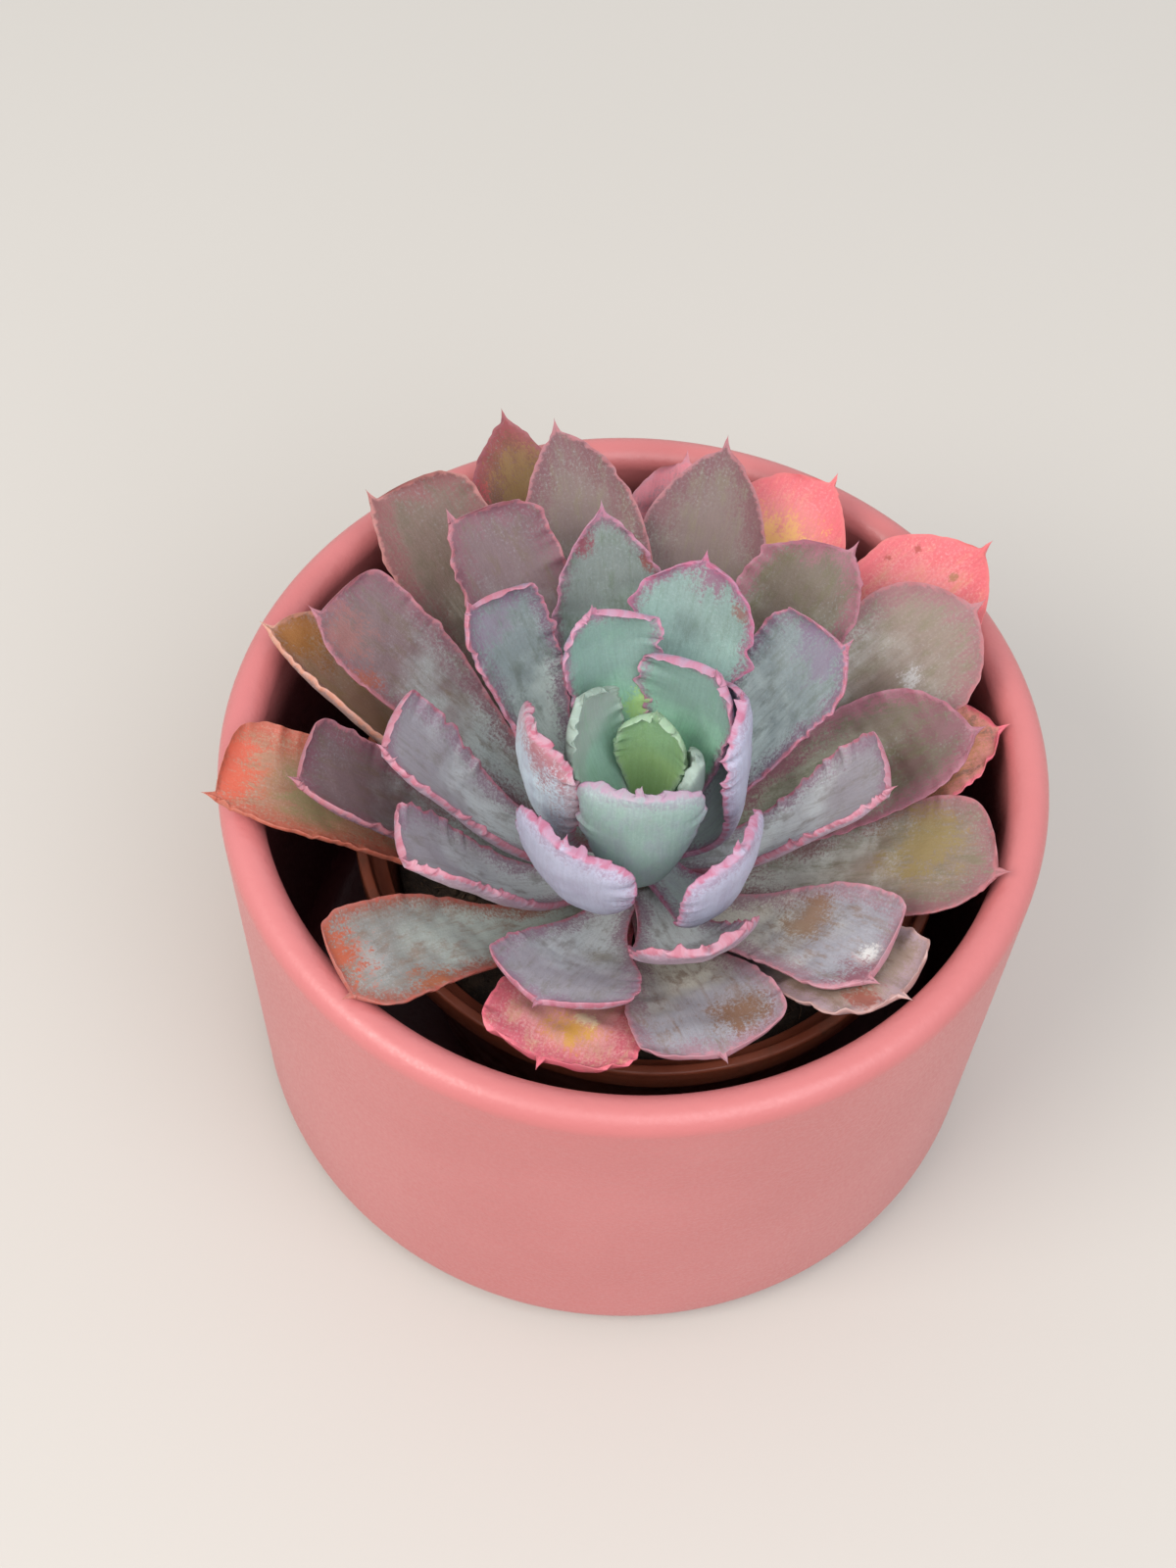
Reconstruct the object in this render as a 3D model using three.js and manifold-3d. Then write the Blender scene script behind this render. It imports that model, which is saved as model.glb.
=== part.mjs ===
// Potted echeveria: a rosette of separate leaves on a short stem, rooted in soil
// in a thin plastic nursery pot, which stands inside a matte ceramic cover pot.
// Millimetres, +Z up. The origin is the centre of the cover pot's flat foot,
// and -Y is the front, where the rosette leans.
import * as THREE from "three";
import { mergeVertices } from "three/addons/utils/BufferGeometryUtils.js";
import Module from "manifold-3d";

const wasm = await Module();
wasm.setup();

// Gap left between pieces that rest on each other
const SEAT_GAP = 0.3;

// Cover pot
const POT_RADIUS = 80;
const POT_HEIGHT = 102;
const POT_INNER_RADIUS = 72;
const POT_FLOOR = 6;
const POT_CORNER_RADIUS = 5.5;
const POT_LIP_RADIUS = (POT_RADIUS - POT_INNER_RADIUS) / 2;
const FOOT_RADIUS = 66;
const FOOT_HEIGHT = 2;
const INNER_CORNER = 6;
const POT_SEGMENTS = 64;

// Nursery pot, a standard 12 cm pan, a little off the middle of the cover pot
const NURSERY_CENTRE = new THREE.Vector2(4, 3);
const NURSERY_RIM_RADIUS = 60;
const NURSERY_RIM_HEIGHT = 6;
const NURSERY_TOP = 76;
const NURSERY_WALL = 1.5;
const NURSERY_SHOULDER_RADIUS = 55.5;
const NURSERY_BASE_RADIUS = 45;
const NURSERY_BASE = POT_FLOOR + SEAT_GAP;
const NURSERY_SEGMENTS = 48;
const DRAIN_HOLE_RADIUS = 4;
const DRAIN_HOLE_CIRCLE = 28;
const DRAIN_HOLES = 6;

// Soil, with a slight crown towards the stem
const SOIL_EDGE_HEIGHT = 62.5;
const SOIL_CROWN_HEIGHT = 63.5;

// Stem: it leans to the front and thins towards the heart of the rosette
const STEM_FOOT = 48;
const STEM_TOP = 97;
const STEM_X = 2;
const STEM_Y_AT_SOIL = -10;
const STEM_LEAN = -0.12;
const LEAN_START = 72;
const STEM_SIDES = 16;
const STEM_RADII = [
  [STEM_FOOT, 5.5],
  [60, 7.5],
  [72, 7.2],
  [88, 5.5],
  [96, 4],
  [STEM_TOP, 2.6],
];

// Leaves: reach is measured from this plumb line through the rosette's heart
const ROSETTE_CENTRE = new THREE.Vector2(2, -12);
const LEAF_GAP = 0.35;
const LEAF_THICKNESS = 2;
const LEAF_BASE_THICKNESS = 2.4;
const LEAF_NECK = 7.5;
const MUCRO_LENGTH = 2.5;
const MUCRO_WIDTH = 2.2;
const LEAF_STATIONS = [0, 0.12, 0.25, 0.38, 0.5, 0.61, 0.71, 0.8, 0.88, 0.94, 0.975, 1];
const LEAF_STRIPS = 4;

// Outline types: where a leaf is widest along its length, and how blunt its end is
const OVATE = { belly: 0.68, blunt: 1.9 };
const OBLONG = { belly: 0.72, blunt: 2.6 };
const TRUNCATE = { belly: 0.8, blunt: 3 };
const SPADE = { belly: 0.84, blunt: 3.2 };

// The leaves, from the soil up. Azimuth and swing are degrees counter-clockwise from +X,
// seen from above; seat and tip are heights; reach, width and neck are millimetres;
// rise and curl are the slopes in degrees where the leaf starts and ends; cup is the arc
// its section bends through and roll turns it about its midrib; skew widens its left side.
const LEAVES = [
  // Old leaves, drying out, on the soil and under the others
  { name: "old_leaf_1", azimuth: 18, reach: 74, seat: 66.5, tip: 102.5, rise: 10, curl: 14,
    width: 25, cup: 40, shape: OBLONG },
  { name: "old_leaf_2", azimuth: 43, reach: 91, seat: 69.2, tip: 110, rise: 25, curl: 18,
    width: 28, cup: 40, skew: 0.1, shape: OBLONG },
  { name: "old_leaf_3", azimuth: 65, reach: 83, seat: 72, tip: 112, rise: 25, curl: 20,
    width: 29, cup: 40, skew: 0.15, shape: OBLONG },
  { name: "old_leaf_4", azimuth: 87, reach: 84, seat: 66.5, tip: 106, rise: 20, curl: 16,
    width: 26, cup: 40, shape: OBLONG },
  { name: "old_leaf_5", azimuth: 112, reach: 93, seat: 69.4, tip: 112, rise: 23, curl: 20,
    width: 27, cup: 45, skew: 0.2, shape: OVATE },
  { name: "old_leaf_6", azimuth: 187, reach: 82, seat: 66, tip: 108, rise: 10, curl: 18,
    width: 24, cup: 60, roll: 15, skew: -0.35, shape: TRUNCATE },
  { name: "old_leaf_7", azimuth: 254, reach: 56, seat: 66.5, tip: 93, rise: 12, curl: 5,
    width: 30, cup: 35, skew: 0.1, shape: SPADE },
  { name: "old_leaf_8", azimuth: 323, reach: 64, seat: 66.5, tip: 101.5, rise: 8, curl: 14,
    width: 26, cup: 40, roll: -7, shape: SPADE },

  // Outer leaves, spread out to the rim
  { name: "outer_leaf_1", azimuth: 14, reach: 66, seat: 77.8, tip: 111, rise: 20, curl: 26,
    width: 24, cup: 50, roll: 12, skew: 0.2, shape: OBLONG },
  { name: "outer_leaf_2", azimuth: 34, reach: 77, seat: 74.9, tip: 115, rise: 26, curl: 26,
    width: 29, cup: 40, roll: 16, neck: 7, shape: OBLONG },
  { name: "outer_leaf_3", azimuth: 81, reach: 77, seat: 74.6, tip: 120, rise: 30, curl: 30,
    width: 30, cup: 45, roll: -8, neck: 7, swing: 4, shape: OVATE },
  { name: "outer_leaf_4", azimuth: 107, reach: 79, seat: 77.4, tip: 122, rise: 32, curl: 34,
    width: 27, cup: 45, roll: -8, skew: -0.1, shape: OVATE },
  { name: "outer_leaf_5", azimuth: 135, reach: 84, seat: 72.4, tip: 115, rise: 20, curl: 26,
    width: 25, cup: 45, skew: -0.2, shape: OBLONG },
  { name: "outer_leaf_6", azimuth: 157, reach: 72, seat: 75.5, tip: 117, rise: 26, curl: 34,
    width: 21, cup: 40, skew: -0.15, neck: 7, shape: TRUNCATE },
  { name: "outer_leaf_7", azimuth: 159, reach: 82, seat: 69, tip: 109, rise: 10, curl: 22,
    width: 22, cup: 100, roll: 20, neck: 7, swing: 5, shape: OBLONG },
  { name: "outer_leaf_8", azimuth: 186, reach: 66, seat: 72.4, tip: 111, rise: 2, curl: 36,
    width: 23, cup: 85, roll: 22, skew: -0.1, neck: 7, shape: TRUNCATE },
  { name: "outer_leaf_9", azimuth: 224, reach: 70, seat: 69.3, tip: 104.5, rise: 14, curl: 14,
    width: 22, cup: 40, skew: -0.2, shape: SPADE },
  { name: "outer_leaf_10", azimuth: 250, reach: 49, seat: 72.1, tip: 102, rise: 15, curl: 25,
    width: 29, cup: 50, skew: 0.1, shape: SPADE },
  { name: "outer_leaf_11", azimuth: 290, reach: 55, seat: 69.3, tip: 97, rise: 12, curl: 14,
    width: 29, cup: 40, roll: 3, shape: SPADE },
  { name: "outer_leaf_12", azimuth: 321, reach: 58, seat: 74.7, tip: 103, rise: 14, curl: 20,
    width: 24, cup: 45, skew: 0.4, shape: SPADE },
  { name: "outer_leaf_13", azimuth: 350, reach: 70, seat: 72, tip: 105, rise: 12, curl: 20,
    width: 26, cup: 45, skew: 0.2, shape: OBLONG },

  // Middle leaves, channelled and half upright
  { name: "middle_leaf_1", azimuth: 31, reach: 43, seat: 83.4, tip: 127, rise: 45, curl: 48,
    width: 23, cup: 50, skew: 0.2, shape: TRUNCATE },
  { name: "middle_leaf_2", azimuth: 52, reach: 62, seat: 80, tip: 123, rise: 32, curl: 38,
    width: 25, cup: 50, skew: 0.25, shape: OBLONG },
  { name: "middle_leaf_3", azimuth: 76, reach: 36, seat: 85.7, tip: 134, rise: 60, curl: 62,
    width: 25, cup: 60, shape: OBLONG },
  { name: "middle_leaf_4", azimuth: 104, reach: 49, seat: 82.7, tip: 131, rise: 50, curl: 54,
    width: 24, cup: 50, shape: OVATE },
  { name: "middle_leaf_5", azimuth: 132, reach: 62, seat: 80, tip: 127, rise: 38, curl: 40,
    width: 22, cup: 50, skew: -0.3, shape: OBLONG },
  { name: "middle_leaf_6", azimuth: 150, reach: 40, seat: 84.9, tip: 133, rise: 40, curl: 66,
    width: 18, cup: 70, skew: -0.2, shape: TRUNCATE },
  { name: "middle_leaf_7", azimuth: 185, reach: 49, seat: 78.8, tip: 120, rise: 8, curl: 50,
    width: 22, cup: 90, roll: 20, skew: -0.2, shape: TRUNCATE },
  { name: "middle_leaf_8", azimuth: 209, reach: 49, seat: 75.6, tip: 113, rise: 0, curl: 45,
    width: 24, cup: 90, roll: 20, skew: -0.2, neck: 7, shape: TRUNCATE },
  { name: "middle_leaf_9", azimuth: 292, reach: 37, seat: 77.4, tip: 109, rise: 8, curl: 70,
    width: 24, cup: 60, shape: TRUNCATE },
  { name: "middle_leaf_10", azimuth: 353, reach: 46, seat: 80.6, tip: 121, rise: 18, curl: 48,
    width: 22, cup: 80, roll: -20, skew: 0.2, shape: TRUNCATE },

  // Inner leaves, upright spoons around the heart
  { name: "inner_leaf_1", azimuth: 24, swing: -25, reach: 18, seat: 86.6, tip: 129, rise: 26,
    curl: 92, width: 24, cup: 100, roll: -15, shape: OBLONG },
  { name: "inner_leaf_2", azimuth: 43, reach: 16, seat: 89.9, tip: 130, rise: 62, curl: 85,
    width: 23, cup: 70, skew: 0.1, shape: OBLONG },
  { name: "inner_leaf_3", azimuth: 122, reach: 22, seat: 90, tip: 136, rise: 65, curl: 82,
    width: 20, cup: 80, skew: -0.1, shape: OBLONG },
  { name: "inner_leaf_4", azimuth: 188, reach: 20, seat: 88, tip: 129, rise: 20, curl: 92,
    width: 23, cup: 90, roll: 25, shape: OBLONG },
  { name: "inner_leaf_5", azimuth: 238, reach: 24, seat: 85, tip: 120, rise: -5, curl: 100,
    width: 28, cup: 70, shape: TRUNCATE },
  { name: "inner_leaf_6", azimuth: 269, reach: 13, seat: 88.2, tip: 126, rise: 25, curl: 95,
    width: 25, cup: 90, shape: SPADE },
  { name: "inner_leaf_7", azimuth: 312, reach: 26, seat: 83.3, tip: 121, rise: -5, curl: 100,
    width: 25, cup: 75, roll: 15, shape: TRUNCATE },

  // Heart leaves, the youngest
  { name: "heart_leaf_1", azimuth: 75, reach: 6, seat: 93, tip: 123, rise: 80, curl: 85,
    width: 15, cup: 90, shape: OBLONG },
  { name: "heart_leaf_2", azimuth: 155, reach: 13, seat: 94.7, tip: 127, rise: 65, curl: 95,
    width: 19, cup: 70, shape: OBLONG },
  { name: "heart_leaf_3", azimuth: 350, reach: 9, seat: 93, tip: 121, rise: 70, curl: 95,
    width: 12, cup: 100, shape: OBLONG },
];

// Materials
const finish = (color, roughness) =>
  new THREE.MeshStandardMaterial({ color, roughness, metalness: 0, side: THREE.FrontSide });
const matteCeramic = finish(0xd9767a, 0.75);
const brownPlastic = finish(0x8a4a30, 0.5);
const darkSoil = finish(0x2e2620, 0.95);
const woodyStem = finish(0x8c7a5c, 0.85);
const leafFinish = {
  old: finish(0xd8705c, 0.6),
  outer: finish(0x8f7f78, 0.6),
  middle: finish(0x8d9a90, 0.6),
  inner: finish(0xa7c0b4, 0.6),
  heart: finish(0xa8cf9a, 0.6),
};

const radians = THREE.MathUtils.degToRad;
const smoothStep = (x) => THREE.MathUtils.smoothstep(x, 0, 1);

// Value at x on a line through [x, y] points in rising order
function interpolate(points, x) {
  const after = points.findIndex(([px]) => px >= x);
  if (after === 0) return points[0][1];
  if (after < 0) return points[points.length - 1][1];
  const [x0, y0] = points[after - 1];
  const [x1, y1] = points[after];
  return THREE.MathUtils.mapLinear(x, x0, x1, y0, y1);
}

// Closed geometry from vertices and triangles
function closedGeometry(vertices, triangles) {
  const geometry = new THREE.BufferGeometry();
  geometry.setAttribute("position", new THREE.Float32BufferAttribute(vertices.flat(), 3));
  geometry.setIndex(triangles.flat());
  geometry.computeVertexNormals();
  return geometry;
}

// Solid of revolution about a vertical line, from an outline in [radius, height]
function turned(outline, segments, centre = new THREE.Vector2()) {
  const geometry = new THREE.LatheGeometry(outline, segments);
  geometry.rotateX(Math.PI / 2);
  geometry.translate(centre.x, centre.y, 0);
  return geometry;
}

// Solid for boolean cuts
function solidOf(geometry) {
  const bare = geometry.clone();
  bare.deleteAttribute("normal");
  bare.deleteAttribute("uv");
  const merged = mergeVertices(bare, 1e-4);
  return new wasm.Manifold(
    new wasm.Mesh({
      numProp: 3,
      vertProperties: new Float32Array(merged.attributes.position.array),
      triVerts: new Uint32Array(merged.index.array),
    }),
  );
}

function geometryOf(solid) {
  const cut = solid.getMesh();
  const geometry = new THREE.BufferGeometry();
  geometry.setAttribute("position", new THREE.BufferAttribute(cut.vertProperties, 3));
  geometry.setIndex(new THREE.BufferAttribute(cut.triVerts, 1));
  geometry.computeVertexNormals();
  return geometry;
}

// Cover pot: flat foot, rounded bottom corner, upright wall and a full round lip
function coverPotGeometry() {
  const cornerTop = FOOT_HEIGHT + POT_CORNER_RADIUS;
  const lipHeight = POT_HEIGHT - POT_LIP_RADIUS;
  const outline = new THREE.Path();
  outline.moveTo(0, 0);
  outline.lineTo(FOOT_RADIUS, 0);
  outline.lineTo(FOOT_RADIUS, FOOT_HEIGHT);
  outline.lineTo(POT_RADIUS - POT_CORNER_RADIUS, FOOT_HEIGHT);
  outline.absarc(
    POT_RADIUS - POT_CORNER_RADIUS, cornerTop, POT_CORNER_RADIUS, -Math.PI / 2, 0, false);
  outline.absarc(
    POT_RADIUS - POT_LIP_RADIUS, lipHeight, POT_LIP_RADIUS, 0, Math.PI, false);
  outline.absarc(
    POT_INNER_RADIUS - INNER_CORNER, POT_FLOOR + INNER_CORNER, INNER_CORNER, 0, -Math.PI / 2, true);
  outline.lineTo(0, POT_FLOOR);
  return turned(outline.getPoints(3), POT_SEGMENTS);
}

// Nursery pot: thin tapered wall, a rim band turned out at the top, drain holes in its floor
function nurseryPotGeometry() {
  const floorTop = NURSERY_BASE + NURSERY_WALL;
  const rimFoot = NURSERY_TOP - NURSERY_RIM_HEIGHT;
  const outline = [
    [0, NURSERY_BASE],
    [NURSERY_BASE_RADIUS - 1, NURSERY_BASE],
    [NURSERY_BASE_RADIUS, NURSERY_BASE + 1],
    [NURSERY_SHOULDER_RADIUS, rimFoot],
    [NURSERY_RIM_RADIUS, rimFoot],
    [NURSERY_RIM_RADIUS, NURSERY_TOP],
    [NURSERY_RIM_RADIUS - 2.2, NURSERY_TOP],
    [NURSERY_RIM_RADIUS - 3, rimFoot + NURSERY_WALL],
    [NURSERY_SHOULDER_RADIUS - NURSERY_WALL, rimFoot - 0.5],
    [NURSERY_BASE_RADIUS - NURSERY_WALL, floorTop],
    [0, floorTop],
  ].map(([radius, height]) => new THREE.Vector2(radius, height));
  let pot = solidOf(turned(outline, NURSERY_SEGMENTS, NURSERY_CENTRE));
  for (let i = 0; i < DRAIN_HOLES; i++) {
    const angle = (2 * Math.PI * i) / DRAIN_HOLES;
    const drill = new THREE.CylinderGeometry(DRAIN_HOLE_RADIUS, DRAIN_HOLE_RADIUS, 10, 12);
    drill.rotateX(Math.PI / 2);
    drill.translate(
      NURSERY_CENTRE.x + DRAIN_HOLE_CIRCLE * Math.cos(angle),
      NURSERY_CENTRE.y + DRAIN_HOLE_CIRCLE * Math.sin(angle),
      NURSERY_BASE,
    );
    pot = pot.subtract(solidOf(drill));
  }
  return geometryOf(pot);
}

// Centre and radius of the leaning stem at a height
function stemCentre(height) {
  const lean = STEM_LEAN * (height - LEAN_START);
  return new THREE.Vector3(STEM_X, STEM_Y_AT_SOIL + lean, height);
}

const stemRadius = (height) => interpolate(STEM_RADII, height);

// Stem as rings of vertices on its leaning centre line, or the socket it leaves in the soil
function stemGeometry(clearance = 0) {
  const vertices = [];
  const triangles = [];
  const last = STEM_RADII.length - 1;
  STEM_RADII.forEach(([height, radius], ring) => {
    const centre = stemCentre(height);
    const z = ring === 0 ? height - clearance : height;
    for (let side = 0; side < STEM_SIDES; side++) {
      const angle = (2 * Math.PI * side) / STEM_SIDES;
      const r = radius + clearance;
      vertices.push([centre.x + r * Math.cos(angle), centre.y + r * Math.sin(angle), z]);
    }
  });
  const at = (ring, side) => ring * STEM_SIDES + (side % STEM_SIDES);
  for (let ring = 0; ring < last; ring++) {
    for (let side = 0; side < STEM_SIDES; side++) {
      triangles.push([at(ring, side), at(ring, side + 1), at(ring + 1, side + 1)]);
      triangles.push([at(ring, side), at(ring + 1, side + 1), at(ring + 1, side)]);
    }
  }
  for (let side = 1; side < STEM_SIDES - 1; side++) {
    triangles.push([at(0, 0), at(0, side + 1), at(0, side)]);
    triangles.push([at(last, 0), at(last, side), at(last, side + 1)]);
  }
  return closedGeometry(vertices, triangles);
}

// Soil: fills the nursery pot up to the crown, with a socket for the buried end of the stem
function soilGeometry() {
  const bottom = NURSERY_BASE + NURSERY_WALL + SEAT_GAP;
  const taper = (NURSERY_SHOULDER_RADIUS - NURSERY_BASE_RADIUS)
    / (NURSERY_TOP - NURSERY_RIM_HEIGHT - NURSERY_BASE);
  const fit = NURSERY_WALL + 2 * SEAT_GAP;
  const radiusAt = (height) => NURSERY_BASE_RADIUS - fit + taper * (height - NURSERY_BASE - 1);
  const outline = [
    [0, bottom],
    [radiusAt(bottom), bottom],
    [radiusAt(SOIL_EDGE_HEIGHT), SOIL_EDGE_HEIGHT],
    [radiusAt(SOIL_EDGE_HEIGHT) / 2, SOIL_CROWN_HEIGHT - 0.3],
    [0, SOIL_CROWN_HEIGHT],
  ].map(([radius, height]) => new THREE.Vector2(radius, height));
  const soil = solidOf(turned(outline, NURSERY_SEGMENTS, NURSERY_CENTRE));
  return geometryOf(soil.subtract(solidOf(stemGeometry(SEAT_GAP))));
}

// Midrib of a leaf: from just off the stem to the tip, at the slopes the leaf states
function midrib(leaf) {
  const outward = (degrees) =>
    new THREE.Vector3(Math.cos(radians(degrees)), Math.sin(radians(degrees)), 0);
  const slope = (direction, degrees) =>
    direction.clone().multiplyScalar(Math.cos(radians(degrees)))
      .add(new THREE.Vector3(0, 0, Math.sin(radians(degrees))));
  const start = outward(leaf.azimuth + (leaf.swing ?? 0));
  const end = outward(leaf.azimuth);
  const base = stemCentre(leaf.seat).addScaledVector(start, stemRadius(leaf.seat) + LEAF_GAP);
  const tip = new THREE.Vector3(ROSETTE_CENTRE.x, ROSETTE_CENTRE.y, leaf.tip)
    .addScaledVector(end, leaf.reach);
  const pull = 0.38 * base.distanceTo(tip);
  return new THREE.CubicBezierCurve3(
    base,
    base.clone().addScaledVector(slope(start, leaf.rise), pull),
    tip.clone().addScaledVector(slope(end, leaf.curl), -pull),
    tip,
  );
}

// Half the leaf's width at a share s of its length; side is 1 on its left and -1 on its right
function halfWidth(leaf, length, s, side) {
  const { belly, blunt } = leaf.shape;
  const mucro = MUCRO_LENGTH / length;
  const x = s / (1 - mucro);
  const neck = (leaf.neck ?? LEAF_NECK) / leaf.width;
  const growing = neck + (1 - neck) * smoothStep(x / belly);
  const beyond = Math.min(Math.max((x - belly) / (1 - belly), 0), 1);
  const rounding = Math.sqrt(1 - beyond ** blunt);
  const lean = 1 + side * (leaf.skew ?? 0) * smoothStep((x - 0.2) / 0.5);
  const share = (x > belly ? rounding : growing) * lean;
  const spike = (MUCRO_WIDTH / leaf.width) * Math.min((1 - s) / mucro, 1) * 0.5;
  return (Math.max(share, s > 0.5 ? spike : 0) * leaf.width) / 2;
}

// Leaf: a cupped blade whose section is an arc, thickest along the midrib, with thin margins
function leafGeometry(leaf) {
  const path = midrib(leaf);
  const length = path.getLength();
  const azimuth = radians(leaf.azimuth);
  const leftward = new THREE.Vector3(-Math.sin(azimuth), Math.cos(azimuth), 0);
  const thicknesses = [
    [0, LEAF_BASE_THICKNESS],
    [0.3, LEAF_THICKNESS],
    [0.85, 0.7 * LEAF_THICKNESS],
    [1, 0.2 * LEAF_THICKNESS],
  ];
  const vertices = [];
  const upper = [];
  const lower = [];
  LEAF_STATIONS.slice(0, -1).forEach((s, row) => {
    const centre = path.getPointAt(s);
    const along = path.getTangentAt(s);
    const across = leftward.clone().addScaledVector(along, -leftward.dot(along)).normalize();
    const roll = radians(leaf.roll ?? 0) * smoothStep(s / 0.6);
    across.applyAxisAngle(along, roll);
    const out = new THREE.Vector3().crossVectors(along, across);
    const left = halfWidth(leaf, length, s, 1);
    const right = halfWidth(leaf, length, s, -1);
    const bend = radians(leaf.cup) * (0.8 + 0.2 * s);
    const radius = (left + right) / bend;
    const thickness = interpolate(thicknesses, s);
    upper.push([]);
    lower.push([]);
    for (let strip = 0; strip <= LEAF_STRIPS; strip++) {
      const w = (2 * strip) / LEAF_STRIPS - 1;
      const angle = (w * (w > 0 ? left : right)) / radius;
      const top = centre.clone()
        .addScaledVector(across, radius * Math.sin(angle))
        .addScaledVector(out, radius * (1 - Math.cos(angle)));
      upper[row].push(vertices.push(top.toArray()) - 1);
      if (Math.abs(w) === 1) {
        lower[row].push(upper[row][strip]);
        continue;
      }
      const normal = out.clone().multiplyScalar(Math.cos(angle))
        .addScaledVector(across, -Math.sin(angle));
      const depth = Math.max(thickness * (1 - w * w), 0.3);
      lower[row].push(vertices.push(top.addScaledVector(normal, -depth).toArray()) - 1);
    }
  });
  const tip = vertices.push(path.getPointAt(1).toArray()) - 1;
  return closedGeometry(vertices, leafTriangles(upper, lower, tip));
}

// Triangles of a leaf's two faces, its cut base and the fan that closes on its tip
function leafTriangles(upper, lower, tip) {
  const triangles = [];
  const last = upper.length - 1;
  for (let strip = 0; strip < LEAF_STRIPS; strip++) {
    for (let row = 0; row < last; row++) {
      const [a, b] = [upper[row][strip], upper[row + 1][strip]];
      const [c, d] = [upper[row + 1][strip + 1], upper[row][strip + 1]];
      triangles.push([a, b, c], [a, c, d]);
      const [e, f] = [lower[row][strip], lower[row + 1][strip]];
      const [g, h] = [lower[row + 1][strip + 1], lower[row][strip + 1]];
      triangles.push([e, g, f], [e, h, g]);
    }
    triangles.push([upper[last][strip], tip, upper[last][strip + 1]]);
    triangles.push([lower[last][strip], lower[last][strip + 1], tip]);
    triangles.push([upper[0][strip], upper[0][strip + 1], lower[0][strip + 1]]);
    triangles.push([upper[0][strip], lower[0][strip + 1], lower[0][strip]]);
  }
  return triangles.filter(([a, b, c]) => a !== b && b !== c && c !== a);
}

function named(name, geometry, material) {
  const mesh = new THREE.Mesh(geometry, material);
  mesh.name = name;
  return mesh;
}

const pottedEcheveria = new THREE.Group();
pottedEcheveria.name = "potted_echeveria";
pottedEcheveria.add(
  named("cover_pot", coverPotGeometry(), matteCeramic),
  named("nursery_pot", nurseryPotGeometry(), brownPlastic),
  named("soil", soilGeometry(), darkSoil),
  named("stem", stemGeometry(), woodyStem),
);

const rosette = new THREE.Group();
rosette.name = "rosette";
for (const leaf of LEAVES) {
  const age = leaf.name.split("_")[0];
  rosette.add(named(leaf.name, leafGeometry(leaf), leafFinish[age]));
}
pottedEcheveria.add(rosette);

export default pottedEcheveria;
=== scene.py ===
"""Potted echeveria: the looks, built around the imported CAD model.

Sizes are written in millimetres and turned into metres when a mesh is made. The origin is the centre
of the cover pot's foot, +Z is up and -Y is the front.
"""

import math

import bmesh
import bpy
import numpy as np
from mathutils import Matrix, Vector


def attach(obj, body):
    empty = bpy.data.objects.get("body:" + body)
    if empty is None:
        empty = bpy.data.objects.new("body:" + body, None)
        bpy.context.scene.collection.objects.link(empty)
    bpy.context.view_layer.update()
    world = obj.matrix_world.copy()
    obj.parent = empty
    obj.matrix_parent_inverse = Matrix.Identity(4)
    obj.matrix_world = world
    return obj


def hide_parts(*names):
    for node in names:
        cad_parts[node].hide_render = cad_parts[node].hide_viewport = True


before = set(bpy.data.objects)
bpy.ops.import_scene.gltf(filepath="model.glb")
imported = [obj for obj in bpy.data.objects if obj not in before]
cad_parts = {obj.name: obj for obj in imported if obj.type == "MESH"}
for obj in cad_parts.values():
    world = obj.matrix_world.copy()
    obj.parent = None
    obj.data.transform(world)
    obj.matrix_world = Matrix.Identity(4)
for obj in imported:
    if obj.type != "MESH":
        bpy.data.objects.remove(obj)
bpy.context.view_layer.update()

MM = 0.001

# Camera: where it stands, in millimetres, and how it is turned, in degrees
CAMERA_PLACE = (0, -231, 445.3)
CAMERA_PITCH = 57.21
CAMERA_YAW = -2.157
CAMERA_ROLL = 2.474
CAMERA_LENS = 49.5
CAMERA_SENSOR = 36

# Cover pot
POT_RADIUS = 80
POT_HEIGHT = 102
POT_INNER_RADIUS = 72
POT_FLOOR = 6
POT_CORNER_RADIUS = 5.5
POT_LIP_RADIUS = 4
FOOT_RADIUS = 66
FOOT_HEIGHT = 2
INNER_CORNER = 6
FOOT_EDGE_RADIUS = 0.6
OUTER_WALL_START = 12
INNER_WALL_START = 16
POT_SEGMENTS = 256

# Innermost ring of points on both pots' flat faces
MIDDLE_RING_RADIUS = 8

# Nursery pot
SEAT_GAP = 0.3
NURSERY_CENTRE = (4, 3)
NURSERY_RIM_RADIUS = 60
NURSERY_RIM_HEIGHT = 6
NURSERY_TOP = 76
NURSERY_WALL = 1.5
NURSERY_SHOULDER_RADIUS = 55.5
NURSERY_BASE_RADIUS = 45
NURSERY_BASE = POT_FLOOR + SEAT_GAP
NURSERY_SEGMENTS = 192
DRAIN_HOLE_RADIUS = 4
DRAIN_HOLE_CIRCLE = 28
DRAIN_HOLES = 6
NURSERY_FOOT_EDGE = 1
NURSERY_EDGE = 0.6

# Soil
SOIL_EDGE_HEIGHT = 62.5
SOIL_CROWN_HEIGHT = 63.5
SOIL_RADIUS = 51.6
SOIL_CRUMBS = 900
SOIL_FIBRES = 160
SOIL_RINGS = 64
SOIL_SEGMENTS = 180
SOIL_SEED = 7
SOIL_BITS_SEED = 21

# Kinds of soil bits, as the soil's colours read them
PEAT_KIND = 0.3
FIBRE_KIND = 0.6
WHITE_GRAIN_KIND = 1.0
WHITE_GRAIN_CHANCE = 0.01

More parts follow.
